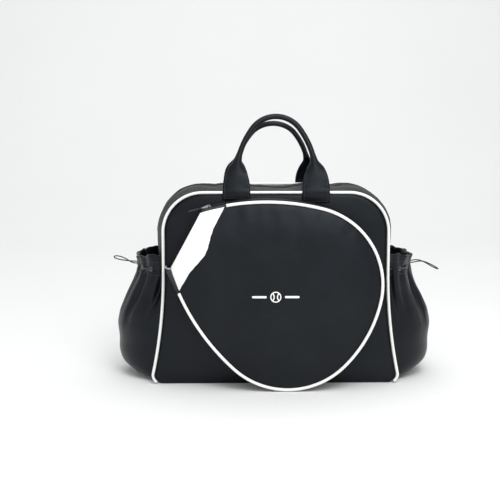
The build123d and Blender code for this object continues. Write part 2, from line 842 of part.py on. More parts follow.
def pull_ring():
    """A wire ring about its hinge bar, which lies along Y at the origin; the ring runs along -X."""
    r = ring_rod_r
    half = ring_half_width
    bar = Rot(90, 0, 0) * Cylinder(r, 2 * half)
    arm = Pos(-ring_length / 2, 0, 0) * (Rot(0, 90, 0) * Cylinder(r, ring_length))
    ring = bar + Pos(-ring_length, 0, 0) * bar
    ring += Pos(0, half, 0) * arm + Pos(0, -half, 0) * arm
    for x in (0, -ring_length):
        for y in (half, -half):
            ring += Pos(x, y, 0) * Sphere(r)
    return ring


def pull_strap():
    """A leather strap folded round the ring's outer bar."""
    start = -ring_length + 1.6
    length = strap_pull_length
    body = Pos(start - length / 2, 0, 0) * Box(length, strap_pull_width, strap_pull_t)
    ends = body.edges().filter_by(Axis.Z).group_by(Axis.X)[0]
    body = fillet(ends, strap_pull_width / 2 - 0.1)
    nose = body.edges().filter_by(Axis.Y).group_by(Axis.X)[-1]
    body = fillet(nose, 0.9)
    hole = Pos(-ring_length, 0, 0) * (Rot(90, 0, 0) * Cylinder(ring_rod_r + 0.1, strap_pull_width + 2))
    return body - hole


def slider_parts(outline):
    """The three sliders with their pulls, each where its zip is closed."""
    parts = {}
    middle = Outline(1.0)
    hinge_h = 0.95
    main_top = -chain_inset + 0.3
    main = zip_slider(main_top, -tape_inset + 0.35, -(tape_inset + tape_t) - 0.45)
    shoulder_z = middle.top - middle.corner
    for side, sign in (("left", -1), ("right", 1)):
        spot = Plane(origin=(sign * middle.waist, 0, shoulder_z), x_dir=(0, 0, 1), z_dir=(sign, 0, 0))
        lift = spot * Pos(0, 0, main_top + plate_t + hinge_h)
        parts[f"main_zip_slider_{side}"] = spot * main
        parts[f"main_zip_pull_{side}"] = lift * pull_ring()
        parts[f"main_zip_pull_strap_{side}"] = lift * pull_strap()

    centre, r, _, _ = outline.arcs()[4]
    angle = outline.angle_at_u(pocket_slider_start)
    slope = atan2(pocket_taper, pocket_depth)
    out_r = r + taper_at(pocket_zip_y)
    origin = arc_point(centre, out_r, angle, pocket_zip_y)
    a = radians(angle)
    radial = (cos(a) * cos(slope), -sin(slope), sin(a) * cos(slope))
    along = (sin(a), 0, -cos(a))
    spot = Plane(origin=origin, x_dir=along, z_dir=radial)
    small_top = 0.0
    small = zip_slider(small_top, -pocket_wall + 0.1, -(pocket_wall + 0.9) - 0.3)
    lift = spot * Pos(0, 0, small_top + plate_t + hinge_h)
    parts["racket_pocket_zip_slider"] = spot * small
    parts["racket_pocket_zip_pull"] = lift * pull_ring()
    parts["racket_pocket_zip_pull_strap"] = lift * pull_strap()
    return parts


def main():
    os.makedirs("parts", exist_ok=True)
    body, parts = body_parts()
    parts |= main_zip_parts()
    parts |= piping_parts()
    outline = PocketOutline()
    parts |= pocket_parts(outline)
    parts |= pocket_zip_parts(outline)
    parts["emblem"] = emblem()
    parts |= handle_parts()
    for name, shape in end_pocket_right(body).items():
        parts[f"{name}_right"] = shape
        parts[f"{name}_left"] = shape.mirror(Plane.YZ)
    parts["drawcord_loop_left"] = loop_cord(left_loop, -1)
    parts["drawcord_loop_right"] = loop_cord(right_loop, 1)
    parts |= slider_parts(outline)
    for node, shape in parts.items():
        save(shape, node)


main()
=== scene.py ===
"""The looks of a racket bag: soft leatherette panels, piping, zips, rolled handles and gathered end pockets.

Shapes are worked out in millimetres, in the CAD model's own frame, and written to meshes in metres.
"""

import json
from math import acos, atan2, cos, exp, hypot, pi, radians, sin, sqrt

import bmesh
import bpy
import numpy as np
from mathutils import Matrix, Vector, noise

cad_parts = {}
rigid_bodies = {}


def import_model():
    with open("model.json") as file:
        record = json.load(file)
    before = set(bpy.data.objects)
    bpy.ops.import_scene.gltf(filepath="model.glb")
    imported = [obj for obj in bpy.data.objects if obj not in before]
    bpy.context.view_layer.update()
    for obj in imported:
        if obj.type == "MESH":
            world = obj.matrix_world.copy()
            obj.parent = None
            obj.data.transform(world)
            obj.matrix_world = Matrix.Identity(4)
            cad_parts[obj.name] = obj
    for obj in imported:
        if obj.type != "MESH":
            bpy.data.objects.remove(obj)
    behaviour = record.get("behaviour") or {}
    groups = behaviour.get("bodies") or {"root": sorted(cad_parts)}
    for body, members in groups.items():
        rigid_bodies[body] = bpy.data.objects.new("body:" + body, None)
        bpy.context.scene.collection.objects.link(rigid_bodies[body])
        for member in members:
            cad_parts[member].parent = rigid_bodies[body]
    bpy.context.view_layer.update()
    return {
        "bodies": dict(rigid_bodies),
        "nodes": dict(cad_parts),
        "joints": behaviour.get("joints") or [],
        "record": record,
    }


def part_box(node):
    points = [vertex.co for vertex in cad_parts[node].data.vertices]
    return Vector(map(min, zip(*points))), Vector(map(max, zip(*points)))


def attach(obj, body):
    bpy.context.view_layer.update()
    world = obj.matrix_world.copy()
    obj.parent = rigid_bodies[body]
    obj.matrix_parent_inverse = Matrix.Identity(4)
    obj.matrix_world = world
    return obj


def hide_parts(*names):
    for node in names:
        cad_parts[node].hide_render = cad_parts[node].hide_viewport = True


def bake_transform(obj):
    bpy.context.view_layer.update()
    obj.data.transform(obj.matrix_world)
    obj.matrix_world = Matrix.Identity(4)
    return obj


MM = 0.001
BODY_MIDDLE = (0.0, 0.0, 160.0)

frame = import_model()


# ---- driving sizes

HALF_DEPTH = -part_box("front_panel")[0].y / MM
LEATHER = 1.8
PANEL_MIDDLE = np.array([0, 161.0])

# The body's outline: at the panels, and at the middle of the gusset.
WAIST = (185.0, 200.0)
BASE = (208.5, 211.5)
TOPS = (322.0, 330.0)
CORNERS = (64.0, 76.0)
WAIST_Z = 200.0
FOOT_R = 16.0
SEAM_Z = (20.0, 234.0)

# The racket pocket, in axes along and across its own slope.
TILT = radians(28.5)
MOUTH = (-146.5, 250.533)
MOUTH_HALF = 52.0
POCKET_LENGTH = 332.0
POCKET_HALF = 152.0
WIDEST_U = 201.0
SIDE_R = 371.0
END_R = 214.0
POCKET_Y = -140.0
POCKET_TAPER = 5.0
ZIP_Y = -116.0
GUSSET_Y = POCKET_Y + 1.6
ZIP_TURN = radians(55.0)
WHITE_BAND = 26.8
WHITE_BUMP = 8.5
WHITE_BUMP_HALF = 28.0
WHITE_BUMP_V = -3.4

# The end pockets: height and reach of each section, and the rim's ellipse.
POCKET_SEAT = 180.0
POCKET_FLOOR = 3.5
POCKET_Z = (POCKET_FLOOR, 10, 22, 50, 90, 115, 140, 162, 180, 186, 212)
POCKET_REACH = (222, 245, 259, 267, 271, 267, 257, 247, 239, 238, 238)
POCKET_HALF_Y = 86.0
HEAVIER = {1: 6.5, -1: 1.5}
CORD_Z = 194.0
EYELETS = (-60.0, -40.0, -7.0, 7.0, 40.0, 60.0)

# Handles.
STRAP_X = 65.5
STRAP_W = 45.0
ROLL_R = 4.5
PIVOT_Y = 96.0
PIVOT_Z = 328.0
ARCH_HEIGHT = 102.0
ARCH_TOP_R = 48.0
TAB_NECK = 56.0
TAB_AT = (0.0, 8.0, 16.0, 25.0, 34.0, 41.0, 45.0, 49.0, 60.0)
TAB_HALF = (22.4, 22.0, 20.8, 18.8, 15.9, 12.4, 8.4, 6.2, 4.6)
CLOSED = 0.993


# ---- small helpers


def smooth(t):
    """0 to 1 with soft ends."""
    t = np.clip(t, 0.0, 1.0)
    return t * t * (3 - 2 * t)


def bump(t):
    """1 at t = 0, falling smoothly to 0 at t = -1 and 1."""
    return 1.0 - smooth(np.abs(t))


def bell(offset, width):
    """1 at offset 0, falling away on both sides over about width."""
    return np.exp(-((offset / width) ** 2))


def gap_to(points, border):
    """The distance from each point to the nearest point of a border."""
    parts = np.array_split(points.reshape(-1, 2), 12)
    gaps = [np.sqrt(((part[:, None] - border[None]) ** 2).sum(2)).min(1) for part in parts]
    return np.concatenate(gaps).reshape(points.shape[:-1])


def wave_noise(points, scale, seed=0.0):
    """Smooth noise from -1 to 1 at each point; scale is the size of a lump in mm, one number or three."""
    size = np.broadcast_to(np.asarray(scale, float), (3,))
    flat = np.asarray(points, float).reshape(-1, 3) / size + seed
    values = [noise.noise(Vector(p)) for p in flat]
    return np.array(values).reshape(np.asarray(points).shape[:-1])


def new_object(name, data):
    obj = bpy.data.objects.new(name, data)
    bpy.context.scene.collection.objects.link(obj)
    return obj


def mesh_piece(name, points, faces):
    """A smooth mesh object from points in mm."""
    mesh = bpy.data.meshes.new(name)
    co = np.asarray(points, float) * MM
    mesh.from_pydata(co.tolist(), [], [tuple(int(i) for i in f) for f in faces])
    mesh.update()
    mesh.validate()
    mesh.polygons.foreach_set("use_smooth", [True] * len(mesh.polygons))
    return new_object(name, mesh)


def grid_normals(grid, wrap):
    """Unit normals of a grid of points. wrap says whether its first axis is a closed ring."""
    if wrap:
        du = np.roll(grid, -1, 0) - np.roll(grid, 1, 0)
    else:
        du = np.gradient(grid, axis=0)
    dv = np.gradient(grid, axis=1)
    n = np.cross(du, dv)
    length = np.linalg.norm(n, axis=2, keepdims=True)
    return n / np.maximum(length, 1e-9)


def shell_grid(name, grid, thick, wrap=False, inside=BODY_MIDDLE, edge=0.35):
    """A closed sheet of leather over a grid of points, thick mm deep on the side towards the inside point.

    wrap says that the grid's first axis is a closed ring round a pole, and its second runs out from the pole.
    """
    grid = np.asarray(grid, float)
    nu, nv = grid.shape[:2]
    n = grid_normals(grid, wrap)
    if np.sum(n * (grid - np.asarray(inside, float))) < 0:
        n = -n
    inner = grid - n * thick
    points = [grid.reshape(-1, 3), inner.reshape(-1, 3)]
    top = np.arange(nu * nv).reshape(nu, nv)
    under = top + nu * nv
    faces = []
    for i in range(nu if wrap else nu - 1):
        j = (i + 1) % nu
        for k in range(nv - 1):
            faces.append((top[i, k], top[j, k], top[j, k + 1], top[i, k + 1]))
            faces.append((under[i, k], under[j, k], under[j, k + 1], under[i, k + 1]))
    count = 2 * nu * nv
    if wrap:
        loop, low = list(top[:, -1]), list(under[:, -1])
        points += [grid[:, 0].mean(0)[None], inner[:, 0].mean(0)[None]]
        for i in range(nu):
            j = (i + 1) % nu
            faces += [(top[i, 0], top[j, 0], count), (under[i, 0], under[j, 0], count + 1)]
        count += 2
    else:
        loop = list(top[:, 0]) + list(top[-1, 1:]) + list(top[-2::-1, -1]) + list(top[0, -2:0:-1])
        low = [i + nu * nv for i in loop]
    everything = np.concatenate(points)
    ring = (everything[loop] + everything[low]) / 2
    side = np.cross(np.roll(ring, -1, 0) - np.roll(ring, 1, 0), everything[loop] - everything[low])
    side /= np.maximum(np.linalg.norm(side, axis=1, keepdims=True), 1e-9)
    middle = grid.reshape(-1, 3).mean(0)
    if np.sum(side * (ring - middle)) < 0:
        side = -side
    everything = np.concatenate([everything, ring + side * thick * edge])
    for i in range(len(loop)):
        j = (i + 1) % len(loop)
        faces.append((loop[i], loop[j], count + j, count + i))
        faces.append((low[i], low[j], count + j, count + i))
    obj = mesh_piece(name, everything, faces)
    face_out(obj)
    return obj


def face_out(obj):
    """Turns every face of a closed mesh outwards."""
    work = bmesh.new()
    work.from_mesh(obj.data)
    bmesh.ops.recalc_face_normals(work, faces=work.faces)
    work.to_mesh(obj.data)
    work.free()


def polar_grid(ring, centre, rings, power=0.72):
    """Points from a centre out to a closed ring, closer together near the ring."""
    ring = np.asarray(ring, float)
    steps = np.linspace(0.0, 1.0, rings) ** power
    steps[0] = 0.004
    return centre + (ring[:, None, :] - centre) * steps[None, :, None]


def join(name, parts):
    """One mesh object from several lists of points and faces."""
    points = []
    faces = []
    for pts, fcs in parts:
        start = len(points)
        points += [tuple(p) for p in pts]
        faces += [tuple(start + i for i in f) for f in fcs]
    return mesh_piece(name, points, faces)


def rod_faces(rings, sides):
    """Faces of a rod, closed at its ends, over rings of points."""
    faces = []
    for s in range(rings - 1):
        for i in range(sides):
            j = (i + 1) % sides
            faces.append((s * sides + i, s * sides + j, (s + 1) * sides + j, (s + 1) * sides + i))
    last = (rings - 1) * sides
    faces += [tuple(reversed(range(sides))), tuple(range(last, last + sides))]
    return faces


def capsule(a, b, r, up, sides=8, flat=0.75):
    """Points and faces of one stitch or rod from a to b, slightly flattened along up."""
    a, b, up = (np.asarray(v, float) for v in (a, b, up))
    along = b - a
    length = np.linalg.norm(along)
    along /= length
    across = np.cross(along, up)
    across /= max(np.linalg.norm(across), 1e-9)
    up = np.cross(across, along)
    stations = [(0.0, 0.45), (0.12, 0.85), (0.3, 1.0), (0.7, 1.0), (0.88, 0.85), (1.0, 0.45)]
    pts = []
    for t, k in stations:
        for i in range(sides):
            turn = 2 * pi * i / sides
            offset = across * cos(turn) + up * sin(turn) * flat
            pts.append(a + along * length * t + offset * r * k)
    return pts, rod_faces(len(stations), sides)


def resample(points, pitch):
    """Evenly spaced points along a polyline, about pitch apart."""
    points = np.asarray(points, float)
    steps = np.linalg.norm(np.diff(points, axis=0), axis=1)
    at = np.concatenate([[0], np.cumsum(steps)])
    count = max(2, int(round(at[-1] / pitch)) + 1)
    goal = np.linspace(0, at[-1], count)
    return np.stack([np.interp(goal, at, points[:, k]) for k in range(points.shape[1])], 1)


def stitch_row(path, normals, pitch, length, r, lift):
    """A row of stitches along a path that lies on a surface."""
    both = resample(np.concatenate([path, normals], 1), pitch)
    parts = []
    for here, there in zip(both[:-1], both[1:]):
        middle = (here[:3] + there[:3]) / 2
        n = here[3:] / max(np.linalg.norm(here[3:]), 1e-9)
        step = there[:3] - here[:3]
        step = step / max(np.linalg.norm(step), 1e-9) * length / 2
        centre = middle + n * lift
        parts.append(capsule(centre - step, centre + step, r, n))
    return parts


def tube(path, r, sides):
    """Points and faces of a round rod along a polyline."""
    path = np.asarray(path, float)
    tangent = np.gradient(path, axis=0)
    tangent /= np.maximum(np.linalg.norm(tangent, axis=1, keepdims=True), 1e-9)
    pts = []
    side = np.cross(tangent[0], np.array([0.0, 0.0, 1.0]))
    if np.linalg.norm(side) < 1e-3:
        side = np.cross(tangent[0], np.array([0.0, 1.0, 0.0]))
    for p, t in zip(path, tangent):
        side = side - t * np.dot(side, t)
        side /= max(np.linalg.norm(side), 1e-9)
        top = np.cross(side, t)
        for i in range(sides):
            turn = 2 * pi * i / sides
            pts.append(p + (side * cos(turn) + top * sin(turn)) * r)
    return pts, [face[::-1] for face in rod_faces(len(path), sides)]


# ---- materials


def principled(name, **values):
    """A new material and its shader, with plain numbers set on the shader's own sockets."""
    material = bpy.data.materials.new(name)
    material.use_nodes = True
    shader = material.node_tree.nodes["Principled BSDF"]
    for socket, value in values.items():
        shader.inputs[socket.replace("_", " ")].default_value = value
    return material, material.node_tree, shader


def texture(tree, kind, scale, **values):
    """A texture node in object coordinates; scale is in repeats per metre."""
    coords = tree.nodes.new("ShaderNodeTexCoord")
    node = tree.nodes.new(kind)
    node.inputs["Scale"].default_value = scale
    for socket, value in values.items():
        node.inputs[socket.replace("_", " ")].default_value = value
    tree.links.new(coords.outputs["Object"], node.inputs["Vector"])
    return node


def colour_mix(tree, factor, low, high, shader, lo=0.35, hi=0.65):
    """Drives the base colour between two colours."""
    ramp = tree.nodes.new("ShaderNodeValToRGB")
    ramp.color_ramp.elements[0].position = lo
    ramp.color_ramp.elements[0].color = (*low, 1)
    ramp.color_ramp.elements[1].position = hi
    ramp.color_ramp.elements[1].color = (*high, 1)
    tree.links.new(factor, ramp.inputs["Fac"])
    tree.links.new(ramp.outputs["Color"], shader.inputs["Base Color"])


def value_range(tree, factor, low, high, socket):
    """Drives a number between two values."""
    node = tree.nodes.new("ShaderNodeMapRange")
    node.inputs["To Min"].default_value = low
    node.inputs["To Max"].default_value = high
    tree.links.new(factor, node.inputs["Value"])
    tree.links.new(node.outputs["Result"], socket)


def bump_chain(tree, shader, layers):
    """Adds bump layers, each (height output, strength, distance in metres)."""
    last = None
    for height, strength, distance in layers:
        node = tree.nodes.new("ShaderNodeBump")
        node.inputs["Strength"].default_value = strength
        node.inputs["Distance"].default_value = distance
        tree.links.new(height, node.inputs["Height"])
        if last:
            tree.links.new(last.outputs["Normal"], node.inputs["Normal"])
        last = node
    tree.links.new(last.outputs["Normal"], shader.inputs["Normal"])


def leatherette(name, low, high, rough=(0.30, 0.42), grain=0.22, shine=0.22, tint=(1, 1, 1)):
    """Coated leather cloth: fine pebble grain, faint creases and patches that are more polished."""
    material, tree, shader = principled(name, Specular_IOR_Level=shine)
    shader.inputs["Specular Tint"].default_value = (*tint, 1)
    pebble = texture(tree, "ShaderNodeTexVoronoi", 900.0, Randomness=1.0)
    fine = texture(tree, "ShaderNodeTexNoise", 2600.0, Detail=2.0)
    crease = texture(tree, "ShaderNodeTexNoise", 60.0, Detail=6.0, Roughness=0.62, Distortion=0.6)
    cloud = texture(tree, "ShaderNodeTexNoise", 14.0, Detail=3.0)
    colour_mix(tree, cloud.outputs["Fac"], low, high, shader)
    value_range(tree, crease.outputs["Fac"], rough[0], rough[1], shader.inputs["Roughness"])
    layers = [
        (crease.outputs["Fac"], 0.22, 0.0012),
        (pebble.outputs["Distance"], grain, 0.00035),
        (fine.outputs["Fac"], 0.08, 0.0001),
    ]
    bump_chain(tree, shader, layers)
    return material


def woven(name, low, high, pitch=1400.0, rough=0.85, strength=0.5):
    """Plain woven tape or cloth."""
    material, tree, shader = principled(name, Roughness=rough, Sheen_Weight=0.25)
    warp = texture(tree, "ShaderNodeTexWave", pitch / 2, Distortion=0.4)
    weft = texture(tree, "ShaderNodeTexWave", pitch / 2, Distortion=0.4)
    weft.bands_direction = "Z"
    cloud = texture(tree, "ShaderNodeTexNoise", 220.0, Detail=3.0)
    colour_mix(tree, cloud.outputs["Fac"], low, high, shader)
    layers = [(warp.outputs["Fac"], strength, 0.0002), (weft.outputs["Fac"], strength, 0.0002)]
    bump_chain(tree, shader, layers)
    return material


def metal(name, colour, rough=(0.16, 0.3)):
    """Cast and plated zinc."""
    material, tree, shader = principled(name, Metallic=1.0)
    shader.inputs["Base Color"].default_value = (*colour, 1)
    wear = texture(tree, "ShaderNodeTexNoise", 700.0, Detail=4.0)
    value_range(tree, wear.outputs["Fac"], rough[0], rough[1], shader.inputs["Roughness"])
    bump_chain(tree, shader, [(wear.outputs["Fac"], 0.05, 0.0001)])
    return material


def moulded(name, low, high, rough=(0.35, 0.5)):
    """Moulded or printed plastic."""
    material, tree, shader = principled(name, Coat_Weight=0.05)
    cloud = texture(tree, "ShaderNodeTexNoise", 300.0, Detail=3.0)
    colour_mix(tree, cloud.outputs["Fac"], low, high, shader)
    value_range(tree, cloud.outputs["Fac"], rough[0], rough[1], shader.inputs["Roughness"])
    bump_chain(tree, shader, [(cloud.outputs["Fac"], 0.06, 0.0002)])
    return material


def thread(name, low, high, pitch=2400.0):
    """Twisted or braided thread."""
    material, tree, shader = principled(name, Roughness=0.62, Sheen_Weight=0.3)
    ply = texture(tree, "ShaderNodeTexWave", pitch, Distortion=1.5, Detail=2.0)
    ply.bands_direction = "DIAGONAL"
    cloud = texture(tree, "ShaderNodeTexNoise", 500.0, Detail=2.0)
    colour_mix(tree, cloud.outputs["Fac"], low, high, shader)
    bump_chain(tree, shader, [(ply.outputs["Fac"], 0.6, 0.0003)])
    return material


BLUISH = (0.84, 0.92, 1.0)
WHITES = ((0.86, 0.86, 0.845), (0.90, 0.90, 0.885))
MATERIALS = {
    "leatherette": leatherette(
        "leatherette_black", (0.0026, 0.0031, 0.0047), (0.0046, 0.0053, 0.0074), shine=0.25, tint=BLUISH
    ),
    "leatherette_soft": leatherette(
        "leatherette_gusset",
        (0.0050, 0.0057, 0.0079),
        (0.0078, 0.0089, 0.0118),
        rough=(0.42, 0.55),
        shine=0.14,
        tint=BLUISH,
    ),
    "white_leatherette": leatherette("leatherette_white", *WHITES, rough=(0.4, 0.55), shine=0.5),
    "white_piping": leatherette("piping_white", *WHITES, rough=(0.3, 0.42), grain=0.1, shine=0.5),
    "binding": woven("binding_grey", (0.42, 0.43, 0.44), (0.52, 0.53, 0.54)),
    "lining": woven("lining_black", (0.020, 0.020, 0.023), (0.032, 0.032, 0.036)),
    "board": moulded("board_black", (0.03, 0.03, 0.03), (0.05, 0.05, 0.05)),
    "foam": woven("foam_grey", (0.05, 0.05, 0.05), (0.08, 0.08, 0.08), pitch=700.0),
    "zip_tape": woven("tape_black", (0.010, 0.010, 0.012), (0.018, 0.018, 0.020)),
    "zip_chain": moulded("coil_black", (0.010, 0.010, 0.011), (0.020, 0.020, 0.022), rough=(0.22, 0.38)),
    "slider_metal": metal("zinc_bright", (0.56, 0.57, 0.59)),
    "pull_leather": leatherette("leather_grey", (0.030, 0.032, 0.037), (0.048, 0.051, 0.058)),
    "cord": thread("cord_black", (0.004, 0.004, 0.005), (0.010, 0.011, 0.012)),
    "eyelet_metal": metal("nickel", (0.13, 0.13, 0.135), rough=(0.28, 0.40)),
    "emblem_white": moulded("print_white", (0.82, 0.82, 0.81), (0.88, 0.88, 0.87)),
    "cord_core": thread("core_cord", (0.014, 0.014, 0.015), (0.024, 0.024, 0.026)),
    "thread_black": thread("thread_black", (0.008, 0.009, 0.011), (0.015, 0.016, 0.019)),
    "thread_white": thread("thread_white", (0.66, 0.66, 0.65), (0.78, 0.78, 0.77)),
}


def finish_cad_nodes():
    """Every CAD node gets the material of its slot."""
    slots = {row["node"]: row["material_slot"] for row in frame["record"]["subparts"]}
    for name, obj in frame["nodes"].items():
        obj.data.materials.clear()
        obj.data.materials.append(MATERIALS[slots[name]])


def dress(obj, material, nodes=()):
    """The material kept under a slot name, the root as body, and hiding the CAD nodes that a piece stands
    for.
    """
    obj.data.materials.clear()
    obj.data.materials.append(MATERIALS[material])
    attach(obj, "root")
    if nodes:
        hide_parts(*nodes)


def add_stitches(name, rows, material="thread_black"):
    """Rows of stitches as one piece that rides on the root."""
    piece = join(name, rows)
    piece.data.materials.append(MATERIALS[material])
    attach(piece, "root")


# ---- the camera


def add_camera():
    """The viewpoint: 1.7 m in front, a little left of the bag's middle, looking slightly down."""
    pitch = radians(8.3)
    yaw = radians(1.02)
    ahead = Vector((sin(yaw) * cos(pitch), cos(yaw) * cos(pitch), -sin(pitch)))
    data = bpy.data.cameras.new("camera")
    data.sensor_width = 36.0
    data.lens = 71.42
    camera = new_object("camera", data)
    camera.location = (-0.0721, -1.7201, 0.4661)
    camera.rotation_euler = ahead.to_track_quat("-Z", "Y").to_euler()
    bpy.context.scene.camera = camera


# ---- drawcord loops

LOOPS = {
    "left": [
        (-0.2358, -0.0101, 0.1940),
        (-0.2435, -0.0112, 0.1944),
        (-0.2505, -0.0106, 0.1975),
        (-0.2585, -0.0096, 0.2025),
        (-0.2680, -0.0076, 0.2060),
        (-0.2765, -0.0040, 0.2065),
        (-0.2805, 0.0025, 0.2035),
        (-0.2770, 0.0082, 0.1995),
        (-0.2685, 0.0104, 0.1970),
        (-0.2590, 0.0112, 0.1955),
        (-0.2508, 0.0114, 0.1946),
        (-0.2435, 0.0112, 0.1942),
        (-0.2358, 0.0101, 0.1940),
    ],
    "right": [
        (0.2358, -0.0101, 0.1940),
        (0.2435, -0.0112, 0.1943),
        (0.2515, -0.0108, 0.1963),
        (0.2605, -0.0100, 0.1965),
        (0.2700, -0.0090, 0.1930),
        (0.2790, -0.0076, 0.1885),
        (0.2875, -0.0046, 0.1835),
        (0.2915, 0.0020, 0.1800),
        (0.2870, 0.0076, 0.1806),
        (0.2785, 0.0096, 0.1850),
        (0.2695, 0.0106, 0.1905),
        (0.2605, 0.0112, 0.1948),
        (0.2515, 0.0114, 0.1956),
        (0.2435, 0.0112, 0.1941),
        (0.2358, 0.0101, 0.1940),
    ],
}
CORD_R = 0.001


def add_loops():
    """Each free loop of elastic cord is one smooth spline from eyelet to eyelet."""
    for side, route in LOOPS.items():
        curve = bpy.data.curves.new(f"loop_{side}", "CURVE")
        curve.dimensions = "3D"
        spline = curve.splines.new("NURBS")
        spline.points.add(len(route) - 1)
        for point, at in zip(spline.points, route):
            point.co = (*at, 1.0)
        spline.order_u = 3
        spline.use_endpoint_u = True
        spline.resolution_u = 12
        curve.bevel_depth = CORD_R
        curve.bevel_resolution = 4
        curve.use_fill_caps = True
        loop = new_object(f"cord_loop_{side}", curve)
        dress(loop, "cord", nodes=[f"drawcord_loop_{side}"])


# ---- body panels


def body_outline(share, spans):
    """Points (x, z) and outward directions along the right half of the body's outline.

    share is 0 at the panels and 1 at the middle of the gusset. spans lists (stretch, first, last, count).
    """
    waist, base, top, corner = (low + (high - low) * share for low, high in (WAIST, BASE, TOPS, CORNERS))
    flare = base - waist
    flare_r = (WAIST_Z**2 + flare**2) / (2 * flare)

    def side(z):
        return waist + flare_r - np.sqrt(flare_r**2 - (WAIST_Z - z) ** 2)

    foot_x = side(FOOT_R) - FOOT_R
    shoulder = top - corner
    out = []
    for stretch, first, last, count in spans:
        s = np.linspace(first, last, count)
        if stretch == "bottom":
            x, z = foot_x * s, 0 * s
        elif stretch == "foot":
            turn = (s - 1) * pi / 2
            x, z = foot_x + FOOT_R * np.cos(turn), FOOT_R + FOOT_R * np.sin(turn)
        elif stretch == "flare":
            z = FOOT_R + (WAIST_Z - FOOT_R) * s
            x = side(z)
        elif stretch == "side":
            z = WAIST_Z + (shoulder - WAIST_Z) * s
            x = waist + 0 * s
        elif stretch == "corner":
            turn = s * pi / 2
            x, z = waist - corner + corner * np.cos(turn), shoulder + corner * np.sin(turn)
        else:
            x, z = (waist - corner) * (1 - s), top + 0 * s
        out.append(np.stack([x, z], 1))
    joined = [out[0]] + [piece[1:] for piece in out[1:]]
    return np.concatenate(joined)


def side_at(z, share=0.5):
    """Where along the straight side a height lies, from 0 to 1."""
    shoulder = TOPS[0] + (TOPS[1] - TOPS[0]) * share - CORNERS[0] - (CORNERS[1] - CORNERS[0]) * share
    return (z - WAIST_Z) / (shoulder - WAIST_Z)


def whole(points):
    """Both halves of a run that starts on the right and ends at the middle of the top."""
    mirrored = points[:-1][::-1] * np.array([-1, 1])
    return np.concatenate([points, mirrored])


def outward(points):
    """Outward directions of a run of (x, z) points that goes up the right side and over to the left."""
    d = np.gradient(points, axis=0)
    n = np.stack([d[:, 1], -d[:, 0]], 1)
    return n / np.maximum(np.linalg.norm(n, axis=1, keepdims=True), 1e-9)


def top_sag(x, z, w):
    """How far the top sinks, in mm: a soft hollow between the handles, nothing at the corners."""
    over = smooth((z - 300) / 18)
    hollows = ((4.6, 4, 62), (1.6, -42, 26), (1.8, 100, 30), (1.4, -104, 26))
    hollow = sum(depth * bump((x - middle) / half) for depth, middle, half in hollows)
    return over * hollow * (0.3 + 0.7 * (1 - w * w))


# Each crease: its foot's x, how far it leans, and its depth.
CREASES = (
    (-44.0, 0.5, 2.2),
    (-26.0, 0.9, 1.3),
    (40.0, -0.6, 2.4),
    (22.0, -0.9, 1.5),
    (92.0, 0.4, 1.6),
    (-94.0, -0.3, 1.5),
)


def top_creases(x, z, w):
    """Creases that run across the top strips from the feet of the handles, in mm."""
    over = smooth((z - 306) / 14)
    near = np.abs(w)
    ends = smooth((1.0 - near) / 0.2) * smooth(near / 0.25)
    pull = 0
    for foot, lean, depth in CREASES:
        pull = pull + 0.6 * depth * bell(x - foot - lean * (1 - near) * 46, 8.0) * ends
    return over * pull


def body_grid(run0, run1, ws, inward=0.0):
    """Plain points over part of the gusset. run0 and run1 are the outline at the panels and at the middle."""
    points = np.zeros((len(run0), len(ws), 3))
    for k, w in enumerate(ws):
        at = run0 + (1 - w * w) * (run1 - run0) - outward(run1) * inward
        points[:, k] = np.stack([at[:, 0], 0 * at[:, 0] + w * HALF_DEPTH, at[:, 1]], 1)
    return points


def body_surface(run0, run1, ws, puff, seed, wrinkle=1.0):
    """The gusset's points with its puff, lumps, creases and sag."""
    points = body_grid(run0, run1, ws)
    normal = outward(run1)
    first, last = (smooth(np.abs(ws - end) * HALF_DEPTH / 9) for end in (ws[0], ws[-1]))
    seam = np.minimum(first, last)
    lumps = wave_noise(points, (60, 34, 60), seed) * 1.1 + wave_noise(points, (24, 15, 24), seed + 7) * 0.5
    crease = wave_noise(points, (9, 26, 9), seed + 3) * 0.35
    amount = puff * seam[None, :] + (lumps + crease) * wrinkle * seam[None, :]
    amount = amount - 0.5 * (1 - seam[None, :])
    place = (points[:, :, 0], points[:, :, 2], ws[None, :])
    sag = top_sag(*place) + top_creases(*place)
    points[:, :, 0] += normal[:, None, 0] * amount
    points[:, :, 2] += normal[:, None, 1] * amount - sag
    return points


def panel_edge_w(y):
    """The share of the half depth at which y lies."""
    return y / HALF_DEPTH


